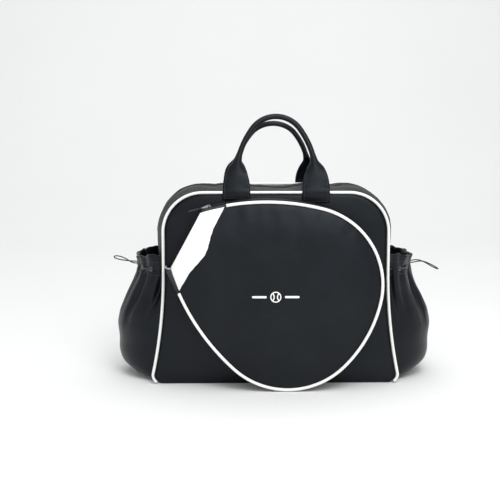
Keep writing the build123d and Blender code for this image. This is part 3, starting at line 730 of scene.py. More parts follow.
def add_gusset():
    """Side panels, bottom and the two top strips, each a sheet of leatherette between its seams."""
    inset = 1.2
    edge = panel_edge_w(HALF_DEPTH - inset)
    zip_gap = 8.5

    spans = [("foot", 0.55, 1.0, 8), ("flare", 0.0, 1.0, 46), ("side", 0.0, side_at(SEAM_Z[1]), 10)]
    runs = [body_outline(share, spans) for share in (0, 1)]
    mirrored = [(run * [-1, 1])[::-1] for run in runs]
    ws = np.linspace(-edge, edge, 60)
    for side, pair, seed in (("right", runs, 3.0), ("left", mirrored, 11.0)):
        piece = shell_grid(f"side_{side}", body_surface(*pair, ws, 1.0, seed), LEATHER)
        dress(piece, "leatherette_soft", nodes=[f"side_panel_{side}"])

    spans = [("bottom", 0.0, 1.0, 50), ("foot", 0.0, 0.6, 8)]
    halves = [body_outline(share, spans) for share in (0, 1)]
    runs = [np.concatenate([half[:0:-1] * [-1, 1], half]) for half in halves]
    grid = body_surface(*runs, np.linspace(-edge, edge, 44), 0.0, 5.0, wrinkle=0.0)
    grid[:, :, 2] = np.maximum(grid[:, :, 2], 0.0)
    piece = shell_grid("bottom", grid, 2.2)
    dress(piece, "leatherette", nodes=["bottom_panel"])

    start = side_at(SEAM_Z[1] + 0.5)
    spans = [("side", start, 1.0, 9), ("corner", 0.0, 1.0, 38), ("top", 0.0, 1.0, 44)]
    run0, run1 = whole(body_outline(0, spans)), whole(body_outline(1, spans))
    for name, low, high, node, seed in (
        ("top_front", -HALF_DEPTH + inset, -zip_gap, "top_strip_front", 21.0),
        ("top_rear", zip_gap, HALF_DEPTH - inset, "top_strip_rear", 33.0),
    ):
        ws = np.linspace(panel_edge_w(low), panel_edge_w(high), 30)
        grid = body_surface(run0, run1, ws, 1.6, seed, wrinkle=1.25)
        piece = shell_grid(name, grid, LEATHER)
        dress(piece, "leatherette_soft", nodes=[node])
        row = 2 if low > 0 else -3
        normal = -grid_normals(grid, False)[:, row]
        add_stitches(f"{name}_stitches", stitch_row(grid[:, row], normal, 4.4, 3.1, 0.34, 0.05))


def panel_ring(grow):
    """The front panel's whole outline as a closed ring of (x, z)."""
    spans = [("bottom", 0.0, 1.0, 34), ("foot", 0.0, 1.0, 9), ("flare", 0.0, 1.0, 40)]
    spans += [("side", 0.0, 1.0, 14), ("corner", 0.0, 1.0, 26), ("top", 0.0, 1.0, 30)]
    half = body_outline(0, spans)
    ring = np.concatenate([half, (half[1:-1] * [-1, 1])[::-1]])
    out = ring - PANEL_MIDDLE
    return ring + out / np.linalg.norm(out, axis=1, keepdims=True) * grow


def add_flat_panels():
    """The front and back panels, puffed a little inside their piping."""
    for name, sign, node, seed in (("front", -1, "front_panel", 40.0), ("back", 1, "back_panel", 55.0)):
        ring = panel_ring(-0.4)
        grid = polar_grid(ring, PANEL_MIDDLE, 40)
        gap = gap_to(grid, ring)
        rise = 3.0 * (1 - np.exp(-gap / 16.0))
        at = np.stack([grid[:, :, 0], 0 * gap + sign * HALF_DEPTH, grid[:, :, 1]], 2)
        lumps = wave_noise(at, (90, 60, 70), seed) * 1.6 + wave_noise(at, (32, 30, 24), seed + 5) * 0.5
        at[:, :, 1] += sign * (rise + lumps * smooth(gap / 25))
        low = smooth(gap / 2.5)
        at[:, :, 1] -= sign * 1.2 * (1 - low)
        piece = shell_grid(f"panel_{name}", at, LEATHER, wrap=True)
        dress(piece, "leatherette", nodes=[node])


# ---- racket pocket


class PocketShape:
    """The racket pocket's outline: five tangent arcs, open at the mouth. Lengths in mm, angles in radians."""

    def __init__(self):
        reach = WIDEST_U - POCKET_LENGTH + END_R
        self.r2 = (END_R**2 - reach**2 - POCKET_HALF**2) / (2 * (END_R - POCKET_HALF))
        self.c3 = np.array([POCKET_LENGTH - END_R, 0.0])
        self.c2 = np.array([WIDEST_U, POCKET_HALF - self.r2])
        gap = hypot(self.c2[0], self.c2[1] - MOUTH_HALF)
        ex = self.c2[0] / gap
        ey = (self.c2[1] - MOUTH_HALF) / gap
        along = (SIDE_R**2 - (SIDE_R - self.r2) ** 2 + gap**2) / (2 * gap)
        aside = sqrt(SIDE_R**2 - along**2)
        self.c1 = np.array([along * ex + aside * ey, MOUTH_HALF + along * ey - aside * ex])
        end = atan2(self.c2[1], self.c2[0] - self.c3[0])
        side = atan2(self.c2[1] - self.c1[1], self.c2[0] - self.c1[0])
        mouth = atan2(MOUTH_HALF - self.c1[1], -self.c1[0])
        flip = np.array([1, -1])
        self.arcs = [
            (self.c1 * flip, SIDE_R, -mouth, -side),
            (self.c2 * flip, self.r2, -side, -end),
            (self.c3, END_R, -end, end),
            (self.c2, self.r2, end, side),
            (self.c1, SIDE_R, side, mouth),
        ]
        self.lengths = [r * (b - a) for _, r, a, b in self.arcs]
        self.total = sum(self.lengths)
        self.starts = np.concatenate([[0], np.cumsum(self.lengths)])

    def at(self, s, out=0.0):
        """Points (u, v) and outward directions at distances s along the outline, from the mouth."""
        s = np.atleast_1d(np.asarray(s, float))
        out = np.broadcast_to(np.asarray(out, float), s.shape)
        points = np.zeros((len(s), 2))
        normals = np.zeros((len(s), 2))
        for k, (centre, r, a, b) in enumerate(self.arcs):
            inside = (s >= self.starts[k] - 1e-6) & (s <= self.starts[k + 1] + 1e-6)
            turn = a + (s[inside] - self.starts[k]) / r
            n = np.stack([np.cos(turn), np.sin(turn)], 1)
            normals[inside] = n
            points[inside] = centre + n * (r + out[inside, None])
        return points, normals

    def s_of_u(self, u, upper=True):
        """Distance along the outline of the point u mm in from the mouth, on the upper or lower side."""
        turn = acos((u - self.c1[0]) / SIDE_R)
        from_mouth = SIDE_R * (self.arcs[4][3] - turn)
        return self.total - from_mouth if upper else from_mouth

    @staticmethod
    def world(uv, y):
        """Points (x, y, z) of pocket coordinates at depth y."""
        uv = np.asarray(uv, float)
        x = MOUTH[0] + uv[..., 0] * cos(TILT) + uv[..., 1] * sin(TILT)
        z = MOUTH[1] - uv[..., 0] * sin(TILT) + uv[..., 1] * cos(TILT)
        return np.stack([x, np.broadcast_to(y, x.shape), z], -1)

    @staticmethod
    def world_dir(d):
        """Directions of pocket coordinates in the world, at y = 0."""
        d = np.asarray(d, float)
        x = d[..., 0] * cos(TILT) + d[..., 1] * sin(TILT)
        z = -d[..., 0] * sin(TILT) + d[..., 1] * cos(TILT)
        return np.stack([x, 0 * x, z], -1)


POCKET = PocketShape()
FRONT_PUFF = 5.0
FRONT_CAP = 4.5
STUFFING_REACH = 9.5
STUFFING = None  # Replaced by what simulate_front returns, before the front is made.


def seam_u(v):
    """The white panel's inner edge: nearly straight at its ends, with a soft swell in the middle."""
    v = np.asarray(v, float)
    return WHITE_BAND + WHITE_BUMP * bell(v - WHITE_BUMP_V, WHITE_BUMP_HALF)


def pocket_rise(uv):
    """How far the padded front stands out from its seam line, in mm."""
    uv = np.asarray(uv, float)
    border, _ = POCKET.at(np.linspace(0, POCKET.total, 420))
    gap = gap_to(uv, border)
    rise = FRONT_PUFF * (1 - np.exp(-gap / 13.0))
    at = POCKET.world(uv, 0.0)
    lumps = wave_noise(at, (85, 50, 85), 70.0) * 1.3 + wave_noise(at, (30, 30, 30), 77.0) * 0.45
    pinch = wave_noise(at, (14, 14, 14), 83.0) * 0.35 * bell(gap - 9, 8)
    mouth = np.exp(-np.maximum(uv[..., 0], 0) / 16.0)
    across = 1 - np.clip(np.abs(uv[..., 1]) / MOUTH_HALF, 0, 1) ** 2
    return rise + (lumps + pinch) * smooth(gap / 22) + 3.0 * mouth * across


def simulate_front():
    """Stuffs the pocket's front as cloth held at its seams: points (u, v) and how far each moves out."""
    border, _ = POCKET.at(np.linspace(0, POCKET.total, 130), -0.3)
    mouth = np.stack([np.zeros(22), np.linspace(border[-1, 1], border[0, 1], 24)[1:-1]], 1)
    grid = polar_grid(np.concatenate([border, mouth]), np.array([160.0, 0.0]), 24, power=0.85)
    lines, rings = grid.shape[:2]
    start = pocket_front_surface(grid)
    quads = [
        (a * rings + k, a * rings + k + 1, (a + 1) % lines * rings + k + 1, (a + 1) % lines * rings + k)
        for a in range(lines)
        for k in range(rings - 1)
    ]
    cloth = mesh_piece("front_cloth", start.reshape(-1, 3), quads)
    face_out(cloth)
    outwards = -np.sign(sum(face.normal.y for face in cloth.data.polygons))
    seam = cloth.vertex_groups.new(name="seam")
    seam.add([a * rings + rings - 1 for a in range(lines)], 1.0, "REPLACE")
    modifier = cloth.modifiers.new("cloth", "CLOTH")
    settings = modifier.settings
    settings.vertex_group_mass = "seam"
    settings.use_pressure = True
    settings.uniform_pressure_force = float(4.0 * outwards)
    settings.effector_weights.gravity = 0.0
    settings.shrink_min = -0.007
    settings.bending_stiffness = 4.0
    modifier.point_cache.frame_end = 20
    for frame in range(1, 21):
        bpy.context.scene.frame_set(frame)
    done = cloth.evaluated_get(bpy.context.evaluated_depsgraph_get()).to_mesh()
    moved = np.zeros(len(done.vertices) * 3)
    done.vertices.foreach_get("co", moved)
    shift = start.reshape(-1, 3)[:, 1] - moved.reshape(-1, 3)[:, 1] / MM
    bpy.data.objects.remove(cloth)
    bpy.context.scene.frame_set(1)
    print("front cloth moved", round(float(shift.min()), 2), "to", round(float(shift.max()), 2), "mm")
    return grid.reshape(-1, 2), FRONT_CAP * np.tanh(shift / FRONT_CAP)


def stuffed(uv):
    """The simulated part of the pocket front's rise at points (u, v), in mm."""
    if STUFFING is None:
        return np.zeros(uv.shape[:-1])
    known, shift = STUFFING
    out = []
    for part in np.array_split(uv.reshape(-1, 2), 24):
        near = np.exp(-((part[:, None] - known[None]) ** 2).sum(2) / STUFFING_REACH**2) + 1e-9
        out.append(near @ shift / near.sum(1))
    return np.concatenate(out).reshape(uv.shape[:-1])


def pocket_front_surface(uv, lift=0.0):
    """Points of the pocket's front at pocket coordinates, raised by lift."""
    uv = np.asarray(uv, float)
    rise = pocket_rise(uv) + stuffed(uv) + lift
    points = POCKET.world(uv, 0.0)
    points[..., 1] += POCKET_Y - rise
    return points


def add_pocket_front():
    """The black padded front, the white panel at the mouth, and the topstitching along their seam."""
    low = POCKET.s_of_u(float(seam_u(-72)) - 1.5, upper=False)
    high = POCKET.s_of_u(float(seam_u(72)) - 1.5)
    border, _ = POCKET.at(np.linspace(low, high, 300), -0.3)
    v = np.linspace(border[-1, 1], border[0, 1], 70)[1:-1]
    seam = np.stack([seam_u(v) - 1.5, v], 1)
    ring = np.concatenate([border, seam])
    grid = polar_grid(ring, np.array([165.0, 0.0]), 46)
    surface = pocket_front_surface(grid)
    front = shell_grid("pocket_front", surface, 1.5, wrap=True)
    dress(front, "leatherette", nodes=["racket_pocket_front"])

    rows = 26
    lines = 80
    t = np.linspace(-1, 1, lines)
    grid = np.zeros((lines, rows, 2))
    far = np.full(lines, WHITE_BAND)

    def half_width(us):
        return np.array([POCKET.at([POCKET.s_of_u(u)], -0.3)[0][0, 1] for u in us])

    for _ in range(12):
        far = seam_u(t * half_width(far)) + 1.6
    for k, a in enumerate(np.linspace(0, 1, rows)):
        grid[:, k, 0] = a * far
        grid[:, k, 1] = t * half_width(a * far)
    surface = pocket_front_surface(grid, 0.55)
    fold = np.exp(-grid[:, :, 0] / 1.6)
    surface[:, :, 1] += 1.3 * fold
    end = far[:, None]
    surface[:, :, 1] += 0.6 * np.exp(-(end - grid[:, :, 0]) / 0.7)
    creases = wave_noise(surface, (26, 10, 9), 91.0) * 0.5
    surface[:, :, 1] += creases * smooth(grid[:, :, 0] / 6)
    white = shell_grid("pocket_mouth_panel", surface, 1.4)
    dress(white, "white_leatherette", nodes=["racket_pocket_mouth_panel"])

    v = np.linspace(-72, 72, 120)
    line = np.stack([seam_u(v) - 2.2, v], 1)
    path = pocket_front_surface(line, 0.62)
    normals = np.broadcast_to([0.0, -1.0, 0.0], path.shape)
    add_stitches("pocket_seam_stitches", stitch_row(path, normals, 4.0, 2.8, 0.34, 0.1), "thread_white")

    v = np.linspace(-MOUTH_HALF + 1.5, MOUTH_HALF - 1.5, 80)
    lip = pocket_front_surface(np.stack([0 * v + 0.2, v], 1), -0.9)
    depth = 6.2
    profile = [(0.0, 0.0), (-0.9, 0.5), (-1.5, 1.8), (-1.6, depth / 2)]
    profile += [(-1.4, depth - 1.4), (-0.8, depth - 0.3), (0.2, depth)]
    grid = np.zeros((len(v), len(profile), 3))
    axis_u = POCKET.world_dir([1.0, 0.0])
    for k, (u, y) in enumerate(profile):
        grid[:, k] = lip + axis_u * u + np.array([0, y, 0])
    inside = lip[:, None] + axis_u * 3 + [0, depth / 2, 0]
    binding = shell_grid("pocket_mouth_binding", grid, 0.7, inside=inside)
    dress(binding, "white_leatherette", nodes=["racket_pocket_mouth_binding"])

    s = np.linspace(POCKET.s_of_u(7.0, False), POCKET.s_of_u(7.0), 300)
    ring, _ = POCKET.at(s, -2.6)
    grid = polar_grid(ring, np.array([150.0, 0.0]), 24)
    back = POCKET.world(grid, 0.0)
    back[..., 1] += POCKET_Y + 6.4 - pocket_rise(grid) * 0.6
    lining = shell_grid("pocket_inner_cloth", back, 0.5, wrap=True)
    dress(lining, "lining", nodes=["racket_pocket_lining"])


def gusset_out(s, share, zipped):
    """How far the gusset stands outside the outline. share is 0 at the front seam and 1 at the body."""
    share = np.clip(share, 0.0, 1.0)
    taper = POCKET_TAPER * share
    strips = np.where(share < 0.5, 1.3 * np.sin(2 * pi * share), 1.3 * np.sin(2 * pi * (share - 0.5)))
    full = 5.0 * np.sin(pi * share) ** 0.8
    near_mouth = 6.5 * bump(s / 170.0) * share**1.2
    return taper + full * (1 - zipped) + strips * zipped + near_mouth


def zip_share(s):
    """1 where the pocket's zip runs, 0 elsewhere, with a soft change."""
    start = POCKET.starts[4] - POCKET.r2 * ZIP_TURN
    return smooth((np.asarray(s) - start + 6) / 22)


def gusset_points(s, share, lift=0.0):
    """Points of the pocket's gusset at distances s and one share of its depth."""
    y = GUSSET_Y + (-HALF_DEPTH - GUSSET_Y) * share
    out = gusset_out(s, np.full(len(s), share), zip_share(s)) + lift
    uv, normals = POCKET.at(s, out)
    at = POCKET.world(uv, y)
    lumps = wave_noise(at, (22, 30, 22), 101.0) * 1.2 + wave_noise(at, (9, 24, 9), 107.0) * 0.45
    free = sin(pi * min(max(share, 0), 1)) * (1 - 0.75 * zip_share(s))
    at += POCKET.world_dir(normals) * (lumps * free)[:, None]
    return at, POCKET.world_dir(normals)


def share_of_y(y):
    """How far y lies from the pocket's front seam (0) to the body (1)."""
    return (y - GUSSET_Y) / (-HALF_DEPTH - GUSSET_Y)


def add_pocket_gusset():
    """The pocket's wall: a plain part, and two strips beside its zip."""
    zip_start = POCKET.starts[4] - POCKET.r2 * ZIP_TURN
    s = np.linspace(0.0, zip_start, 250)
    shares = np.linspace(0.0, 0.995, 26)
    grid = np.stack([gusset_points(s, share)[0] for share in shares], 1)
    plain = shell_grid("pocket_gusset", grid, LEATHER)
    dress(plain, "leatherette", nodes=["racket_pocket_gusset"])
    mouth = np.array([0.0])
    lip = np.array([gusset_points(mouth, share, -0.4)[0][0] for share in np.linspace(0.02, 0.98, 24)])
    edging = join("pocket_gusset_edging", [tube(lip, 1.1, sides=10)])
    dress(edging, "binding")

    s = np.linspace(zip_start + 0.3, POCKET.total, 190)
    gap = 5.2
    for name, y0, y1, node in (
        ("pocket_strip_front", GUSSET_Y, ZIP_Y - gap, "racket_pocket_zip_strip_front"),
        ("pocket_strip_rear", ZIP_Y + gap, -HALF_DEPTH - 0.3, "racket_pocket_zip_strip_rear"),
    ):
        shares = np.linspace(share_of_y(y0), share_of_y(y1), 12)
        grid = np.stack([gusset_points(s, share)[0] for share in shares], 1)
        strip = shell_grid(name, grid, 1.7)
        dress(strip, "leatherette", nodes=[node])
        row = -2 if "front" in name else 1
        normals = grid_normals(grid, False)[:, row] * -1
        add_stitches(f"{name}_stitches", stitch_row(grid[:, row], normals, 4.0, 2.8, 0.3, 0.05))


# ---- emblem


def add_emblem():
    """A generic ball between two bars, printed on the padded front."""
    old_lo, old_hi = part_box("emblem")
    cx = (old_lo.x + old_hi.x) / 2 / MM
    cz = (old_lo.z + old_hi.z) / 2 / MM
    half = (old_hi.x - old_lo.x) / 2 / MM
    ball_r = (old_hi.z - old_lo.z) / 2 / MM
    line = 1.8
    bar_w, bar_h = 24.0, 3.6
    parts = []

    def on_pocket(pts):
        pts = np.asarray(pts, float)
        x, z = pts[..., 0] - MOUTH[0], pts[..., 1] - MOUTH[1]
        u = x * cos(TILT) - z * sin(TILT)
        v = x * sin(TILT) + z * cos(TILT)
        return pocket_front_surface(np.stack([u, v], -1), 0.25)

    def ribbon(outer, inner):
        a, b = on_pocket(outer), on_pocket(inner)
        n = len(outer)
        faces = [(i, i + 1, n + i + 1, n + i) for i in range(n - 1)]
        back = [p + np.array([0, 0.35, 0]) for p in np.concatenate([a, b])]
        pts = np.concatenate([a, b, back])
        faces += [(2 * n + i + 1, 2 * n + i, 3 * n + i, 3 * n + i + 1) for i in range(n - 1)]
        faces += [(i + 1, i, 2 * n + i, 2 * n + i + 1) for i in range(n - 1)]
        faces += [(n + i, n + i + 1, 3 * n + i + 1, 3 * n + i) for i in range(n - 1)]
        faces += [(0, n, 3 * n, 2 * n), (2 * n - 1, n - 1, 3 * n - 1, 4 * n - 1)]
        parts.append((pts, faces))

    turn = np.linspace(0, 2 * pi, 73)
    circle = np.stack([np.cos(turn), np.sin(turn)], 1)
    middle = np.array([cx, cz])
    ribbon(middle + circle * ball_r, middle + circle * (ball_r - line))
    for sign in (-1, 1):
        centre = middle + np.array([sign * ball_r * 1.25, 0])
        reach = radians(40)
        arc = np.linspace(-reach, reach, 30) + (pi if sign > 0 else 0)
        ring = np.stack([np.cos(arc), np.sin(arc)], 1)
        seam = ball_r * 0.95
        outer, inner = centre + ring * (seam + line / 2), centre + ring * (seam - line / 2)
        ribbon(outer, inner)
        x0, x1 = sign * (half - bar_w), sign * half
        xs = np.linspace(min(x0, x1), max(x0, x1), 40)
        near_end = np.minimum(xs - xs[0], xs[-1] - xs)
        rise = np.sqrt(np.maximum((bar_h / 2) ** 2 - np.maximum(bar_h / 2 - near_end, 0) ** 2, 1e-4))
        ribbon(np.stack([cx + xs, cz + rise], 1), np.stack([cx + xs, cz - rise], 1))
    mark = join("emblem_print", parts)
    face_out(mark)
    mark.data.polygons.foreach_set("use_smooth", [False] * len(mark.data.polygons))
    dress(mark, "emblem_white", nodes=["emblem"])


# ---- handles


def handle_arch(spring):
    """Half the grip's line in its own plane, over a three-centred arch, and the distance along it."""
    side_r = (STRAP_X**2 + ARCH_HEIGHT**2 - 2 * ARCH_HEIGHT * ARCH_TOP_R) / (2 * (STRAP_X - ARCH_TOP_R))
    across = side_r - STRAP_X
    up = ARCH_HEIGHT - ARCH_TOP_R
    turn = atan2(up, across)
    rise = np.arange(0.0, spring, 2.0)
    side = np.linspace(0, turn, 32)
    top = np.linspace(turn, pi / 2, 24)[1:]
    x = np.concatenate([STRAP_X + 0 * rise, side_r * np.cos(side) - across, ARCH_TOP_R * np.cos(top)])
    z = np.concatenate([rise, spring + side_r * np.sin(side), spring + up + ARCH_TOP_R * np.sin(top)])
    way = np.concatenate([rise, spring + side_r * side, spring + side_r * turn + ARCH_TOP_R * (top - turn)])
    return x, z, way


def handle_frames(sign, lean, bottoms, spring):
    """Samples along one whole handle strap: place, direction, outward normal, and distance from the pivot.

    The strap runs up from the left anchor, over the arch and down to the right one.
    """
    turn = radians(lean)
    up = np.array([0, -sign * sin(turn), cos(turn)])
    out = np.array([0, sign * cos(turn), sin(turn)])
    pivot = np.array([0, sign * PIVOT_Y, PIVOT_Z])
    x, z, way = handle_arch(spring)
    places = []
    dist = []
    for side, bottom in zip((-1, 1), bottoms):
        low = [(s, 4.8 * float(smooth((s + 32.0) / 29.0))) for s in np.arange(bottom - PIVOT_Z, -2.0, 2.0)]
        foot = []
        for s, y in low:
            puff = 3.2 * (1 - exp(-max(TOPS[0] - PIVOT_Z - s, 0.0) / 16.0))
            depth = HALF_DEPTH + LEATHER + puff + y * 0.96
            foot.append(np.array([side * STRAP_X, sign * depth, PIVOT_Z + s]))
        arm = [pivot + up * (zz + 0.6) + np.array([side * xx, 0, 0]) for xx, zz in zip(x, z)]
        run = foot + arm
        far = [s for s, _ in low] + list(way)
        if side > 0:
            run, far = run[::-1][1:], far[::-1][1:]
        places += run
        dist += far
    places = np.array(places)
    tangent = np.gradient(places, axis=0)
    for _ in range(2):
        tangent[1:-1] = (tangent[:-2] + 2 * tangent[1:-1] + tangent[2:]) / 4
    tangent /= np.linalg.norm(tangent, axis=1, keepdims=True)
    normal = out - tangent * (tangent @ out)[:, None]
    normal /= np.linalg.norm(normal, axis=1, keepdims=True)
    return places, tangent, normal, np.array(dist)


def tab_half(s):
    """Half the strap's visible width at distance s above the pivot: a tab that narrows to the grip."""
    fine = np.arange(-80.0, 320.0, 0.5)
    raw = np.interp(fine, TAB_AT, TAB_HALF)
    soft = np.convolve(np.pad(raw, 5, mode="edge"), np.ones(11) / 11, "valid")
    return np.interp(s, fine, soft)


def strap_section(dist, places, tangent, normal, across, under):
    """Points across the strap. across runs from -1 to 1 over its width; under is the depth below the face."""
    share = smooth(dist / TAB_NECK)
    width = STRAP_W + (2 * pi * ROLL_R * CLOSED - STRAP_W) * share
    curls = np.linspace(0.05, 2 * pi * CLOSED, 400)
    chord = np.sin(np.minimum(curls, pi) / 2) / curls
    theta = np.interp(-tab_half(dist) / width, -chord, curls)
    r = width / theta
    side = np.cross(tangent, normal)
    top = 1.3 + (ROLL_R - 1.3) * share
    a = across * theta / 2
    radius = r - under
    b = radius * np.sin(a)
    n = top - r + radius * np.cos(a)
    return places + side * b[:, None] + normal * n[:, None]


def add_handle(name, sign, lean, bottoms, spring, seed):
    """One strap and its stitching, bending where it leaves the bag."""
    places, tangent, normal, dist = handle_frames(sign, lean, bottoms, spring)

    def section(across, under=0.0):
        return strap_section(dist, places, tangent, normal, across, under)

    grid = np.stack([section(a) for a in np.linspace(-1, 1, 37)], 1)
    soft = wave_noise(grid, (20, 20, 20), seed) * 0.4
    grid += normal[:, None, :] * (soft * smooth((TAB_NECK - dist) / 40)[:, None])[:, :, None]
    middle = (places - normal * 30)[:, None]
    curled = (dist > TAB_NECK * 0.75)[:, None, None]
    inside = np.where(curled, places[:, None], middle)
    strap = shell_grid(f"{name}_leather", grid, 1.7, inside=inside)
    parts = []

    def stitch_edge(edge, keep, *sizes):
        face, deep = (section(edge, under)[keep] for under in (0.0, 4.0))
        return stitch_row(face, face - deep, *sizes, 0.1)

    first_half = np.arange(len(dist)) < len(dist) // 2
    for edge in (-0.87, 0.87):
        for half in (first_half, ~first_half):
            parts += stitch_edge(edge, half & (dist < TAB_NECK - 9), 4.0, 2.8, 0.36)
    for k in (1, len(dist) - 2):
        line = np.array([section(a)[k] for a in np.linspace(-0.87, 0.87, 14)])
        parts += stitch_row(line, np.broadcast_to(normal[k], line.shape), 4.0, 2.8, 0.36, 0.1)
    for edge in (-0.93, 0.93):
        parts += stitch_edge(edge, dist > TAB_NECK + 2, 4.4, 3.0, 0.34)
    stitches = join(f"{name}_stitches", parts)
    stitches.data.materials.append(MATERIALS["thread_black"])
    strap.data.materials.append(MATERIALS["leatherette"])
    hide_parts(f"{name}_strap", f"{name}_anchors")
    for piece in (strap, stitches):
        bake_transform(piece)


# ---- end pockets


def reach_at(z):
    """The end pocket's reach at height z, with the steps between its sections rounded off."""
    fine = np.arange(0.0, 216.0, 1.0)
    raw = np.interp(fine, POCKET_Z, POCKET_REACH)
    kernel = np.exp(-np.linspace(-2, 2, 21) ** 2)
    padded_raw = np.concatenate([np.full(10, raw[0]), raw, np.full(10, raw[-1])])
    soft = np.convolve(padded_raw, kernel / kernel.sum(), "valid")
    near_floor = smooth((fine - 8) / 14)
    return np.interp(z, fine, raw * (1 - near_floor) + soft * near_floor)


def fold_shape(t, seed):
    """Uneven waves round the pocket, rounded on their crests and sharper in their valleys."""
    waves = ((1.0, 8.7, 0.7), (0.55, 14.3, 1.9), (0.3, 21.0, 2.7))
    wave = sum(height * np.cos(count * t + turn * seed) for height, count, turn in waves) / 1.85
    return 0.35 - 1.15 * np.exp(-((wave + 0.75) ** 2) / 0.18) + 0.55 * wave


def gathers(turn, z, seed):
    """Folds that spread down from the drawcord, in mm, at angles turn (degrees) and heights z."""
    t = np.radians(turn)
    drift = t * (1 + 0.0012 * (188 - z)) + 0.0016 * (188 - z) * np.sin(seed)
    folds = 0.6 * np.cos(19 * t + 1.3 * seed) + 0.4 * np.cos(27 * t + 2.1 * seed + 1)
    broad = fold_shape(drift, seed)
    gathered = bell(z - 190.0, 18.0)
    spread = bell(z - 158.0, 42.0)
    held = np.ones_like(turn)
    for angle in EYELETS:
        held = held * (1 - bell(turn - angle, 5.0) * bell(z - CORD_Z, 9.0))
    pair = 1 - 0.9 * bell(np.abs(turn) - 50, 9.0) * bell(z - CORD_Z, 9.0)
    ends = smooth((88 - np.abs(turn)) / 12)
    return (folds * 1.5 * gathered + broad * 5.2 * spread) * held * pair * ends


def end_pocket_point(turn, z, side, seed, lift=0.0):
    """Points of an end pocket at angles turn and heights z. side is 1 on the right and -1 on the left."""
    reach = reach_at(z)
    a = reach - POCKET_SEAT
    t = np.radians(turn)
    body_lump = 1.6 * np.sin(z / 31.0 + 2.0 * t + seed) * smooth((150 - z) / 60) * smooth((z - 12) / 30)
    dent = 4.5 * np.exp(-(((turn + 38 + 6 * seed) / 17.0) ** 2) - ((z - 118.0 + 0.5 * turn) / 20.0) ** 2)
    heavy = HEAVIER[side] * bell(z - 86.0, 40.0) - 0.5 * HEAVIER[side] * bell(z - 160.0, 18.0)
    low = 7.5 * bell(z - 33.0, 22.0)
    bulge = gathers(turn, z, seed) + body_lump - dent + (heavy + low) * np.cos(t) ** 2
    flare = 1.8 * smooth((z - 200) / 12) * (1 + np.cos(11 * t + seed))
    near_eyelet = sum(bell(turn - angle, 6.0) for angle in EYELETS)
    cinch = -1.3 * bell(z - CORD_Z, 4.5) * (1 - np.clip(near_eyelet, 0, 1))
    out = bulge + flare + cinch + lift
    nx = np.cos(t) / np.maximum(a, 1)
    ny = np.sin(t) / POCKET_HALF_Y
    size = np.sqrt(nx**2 + ny**2)
    ends = smooth((90 - np.abs(turn)) / 8)
    x = POCKET_SEAT + a * np.cos(t) + nx / size * out * ends
    y = POCKET_HALF_Y * np.sin(t) + ny / size * out * ends
    ripple = 0.9 * np.cos(13 * t + 2 * seed) + 0.6 * np.cos(23 * t + seed)
    droop = 1.8 * bump((turn + 12) / 62) - 7.0 * smooth((-turn - 22) / 50) + ripple
    return np.stack([side * x, y, z - droop * smooth((z - 197) / 14)], -1)


def add_end_pocket(name, side, seed):
    """One end pocket: its gathered wall, the hem folded inside its rim, and rows of stitches."""
    turns = np.linspace(-90, 90, 181)
    stretches = ((POCKET_FLOOR, 40, 12), (44, 150, 28), (153, 211.5, 32))
    heights = np.concatenate([np.linspace(*stretch) for stretch in stretches])
    t_grid, z_grid = np.meshgrid(turns, heights, indexing="ij")
    grid = end_pocket_point(t_grid, z_grid, side, seed)
    inside = (side * POCKET_SEAT, 0, 100)
    wall = shell_grid(f"end_pocket_wall_{name}", grid, 1.7, inside=inside)
    dress(wall, "leatherette", nodes=[f"end_pocket_{name}"])

    steps = [(0.0, 0.0), (-0.7, 1.1), (-2.2, 1.6), (-3.8, 0.9), (-4.6, -1.5)]
    steps += [(-4.8, drop) for drop in (-6.0, -14.0, -24.0)]
    rim_z = 211.3
    hem = np.zeros((len(turns), len(steps), 3))
    for k, (lift, drop) in enumerate(steps):
        over_rim = drop > -2
        at_z = np.full(len(turns), rim_z if over_rim else rim_z + drop)
        hem[:, k] = end_pocket_point(turns, at_z, side, seed, lift)
        hem[:, k, 2] += drop if over_rim else 0.0
    fold = shell_grid(f"end_pocket_fold_{name}", hem, 0.9, inside=hem.mean(1, keepdims=True) - [0, 0, 6])
    dress(fold, "leatherette", nodes=[f"end_pocket_hem_{name}"])

    parts = []
    for z in (203.5, 184.5):
        at_z = np.full(len(turns), z)
        row = end_pocket_point(turns, at_z, side, seed)[4:-4]
        outer = end_pocket_point(turns, at_z, side, seed, 2.0)[4:-4]
        parts += stitch_row(row, outer - row, 4.2, 2.9, 0.34, 0.05)
    add_stitches(f"end_pocket_stitches_{name}", parts)

    base = end_pocket_point(turns, np.full(len(turns), POCKET_FLOOR), side, seed)
    floor = np.zeros((len(turns), 6, 3))
    for k, share in enumerate(np.linspace(0, 1, 6)):
        floor[:, k, 0] = base[:, 0] * (1 - share) + share * side * 188.0
        floor[:, k, 1] = base[:, 1]
        floor[:, k, 2] = POCKET_FLOOR - 0.48 * sin(pi * share)
    bottom = shell_grid(f"end_pocket_base_{name}", floor, 1.6, inside=(side * 200, 0, 60))
    dress(bottom, "leatherette")


# ---- zips


def zip_run():
    """The main zip's path over the bag: points, directions along it and outward normals, all at y = 0."""
    spans = [("side", side_at(SEAM_Z[1] + 4, 1.0), 1.0, 12), ("corner", 0.0, 1.0, 80), ("top", 0.0, 1.0, 80)]
    run = whole(body_outline(1, spans))
    normal = outward(run)
    run3 = np.stack([run[:, 0], 0 * run[:, 0], run[:, 1]], 1)
    run3[:, 2] -= top_sag(run3[:, 0], run3[:, 2], 0.0)
    normal3 = np.stack([normal[:, 0], 0 * normal[:, 0], normal[:, 1]], 1)
    return run3, normal3


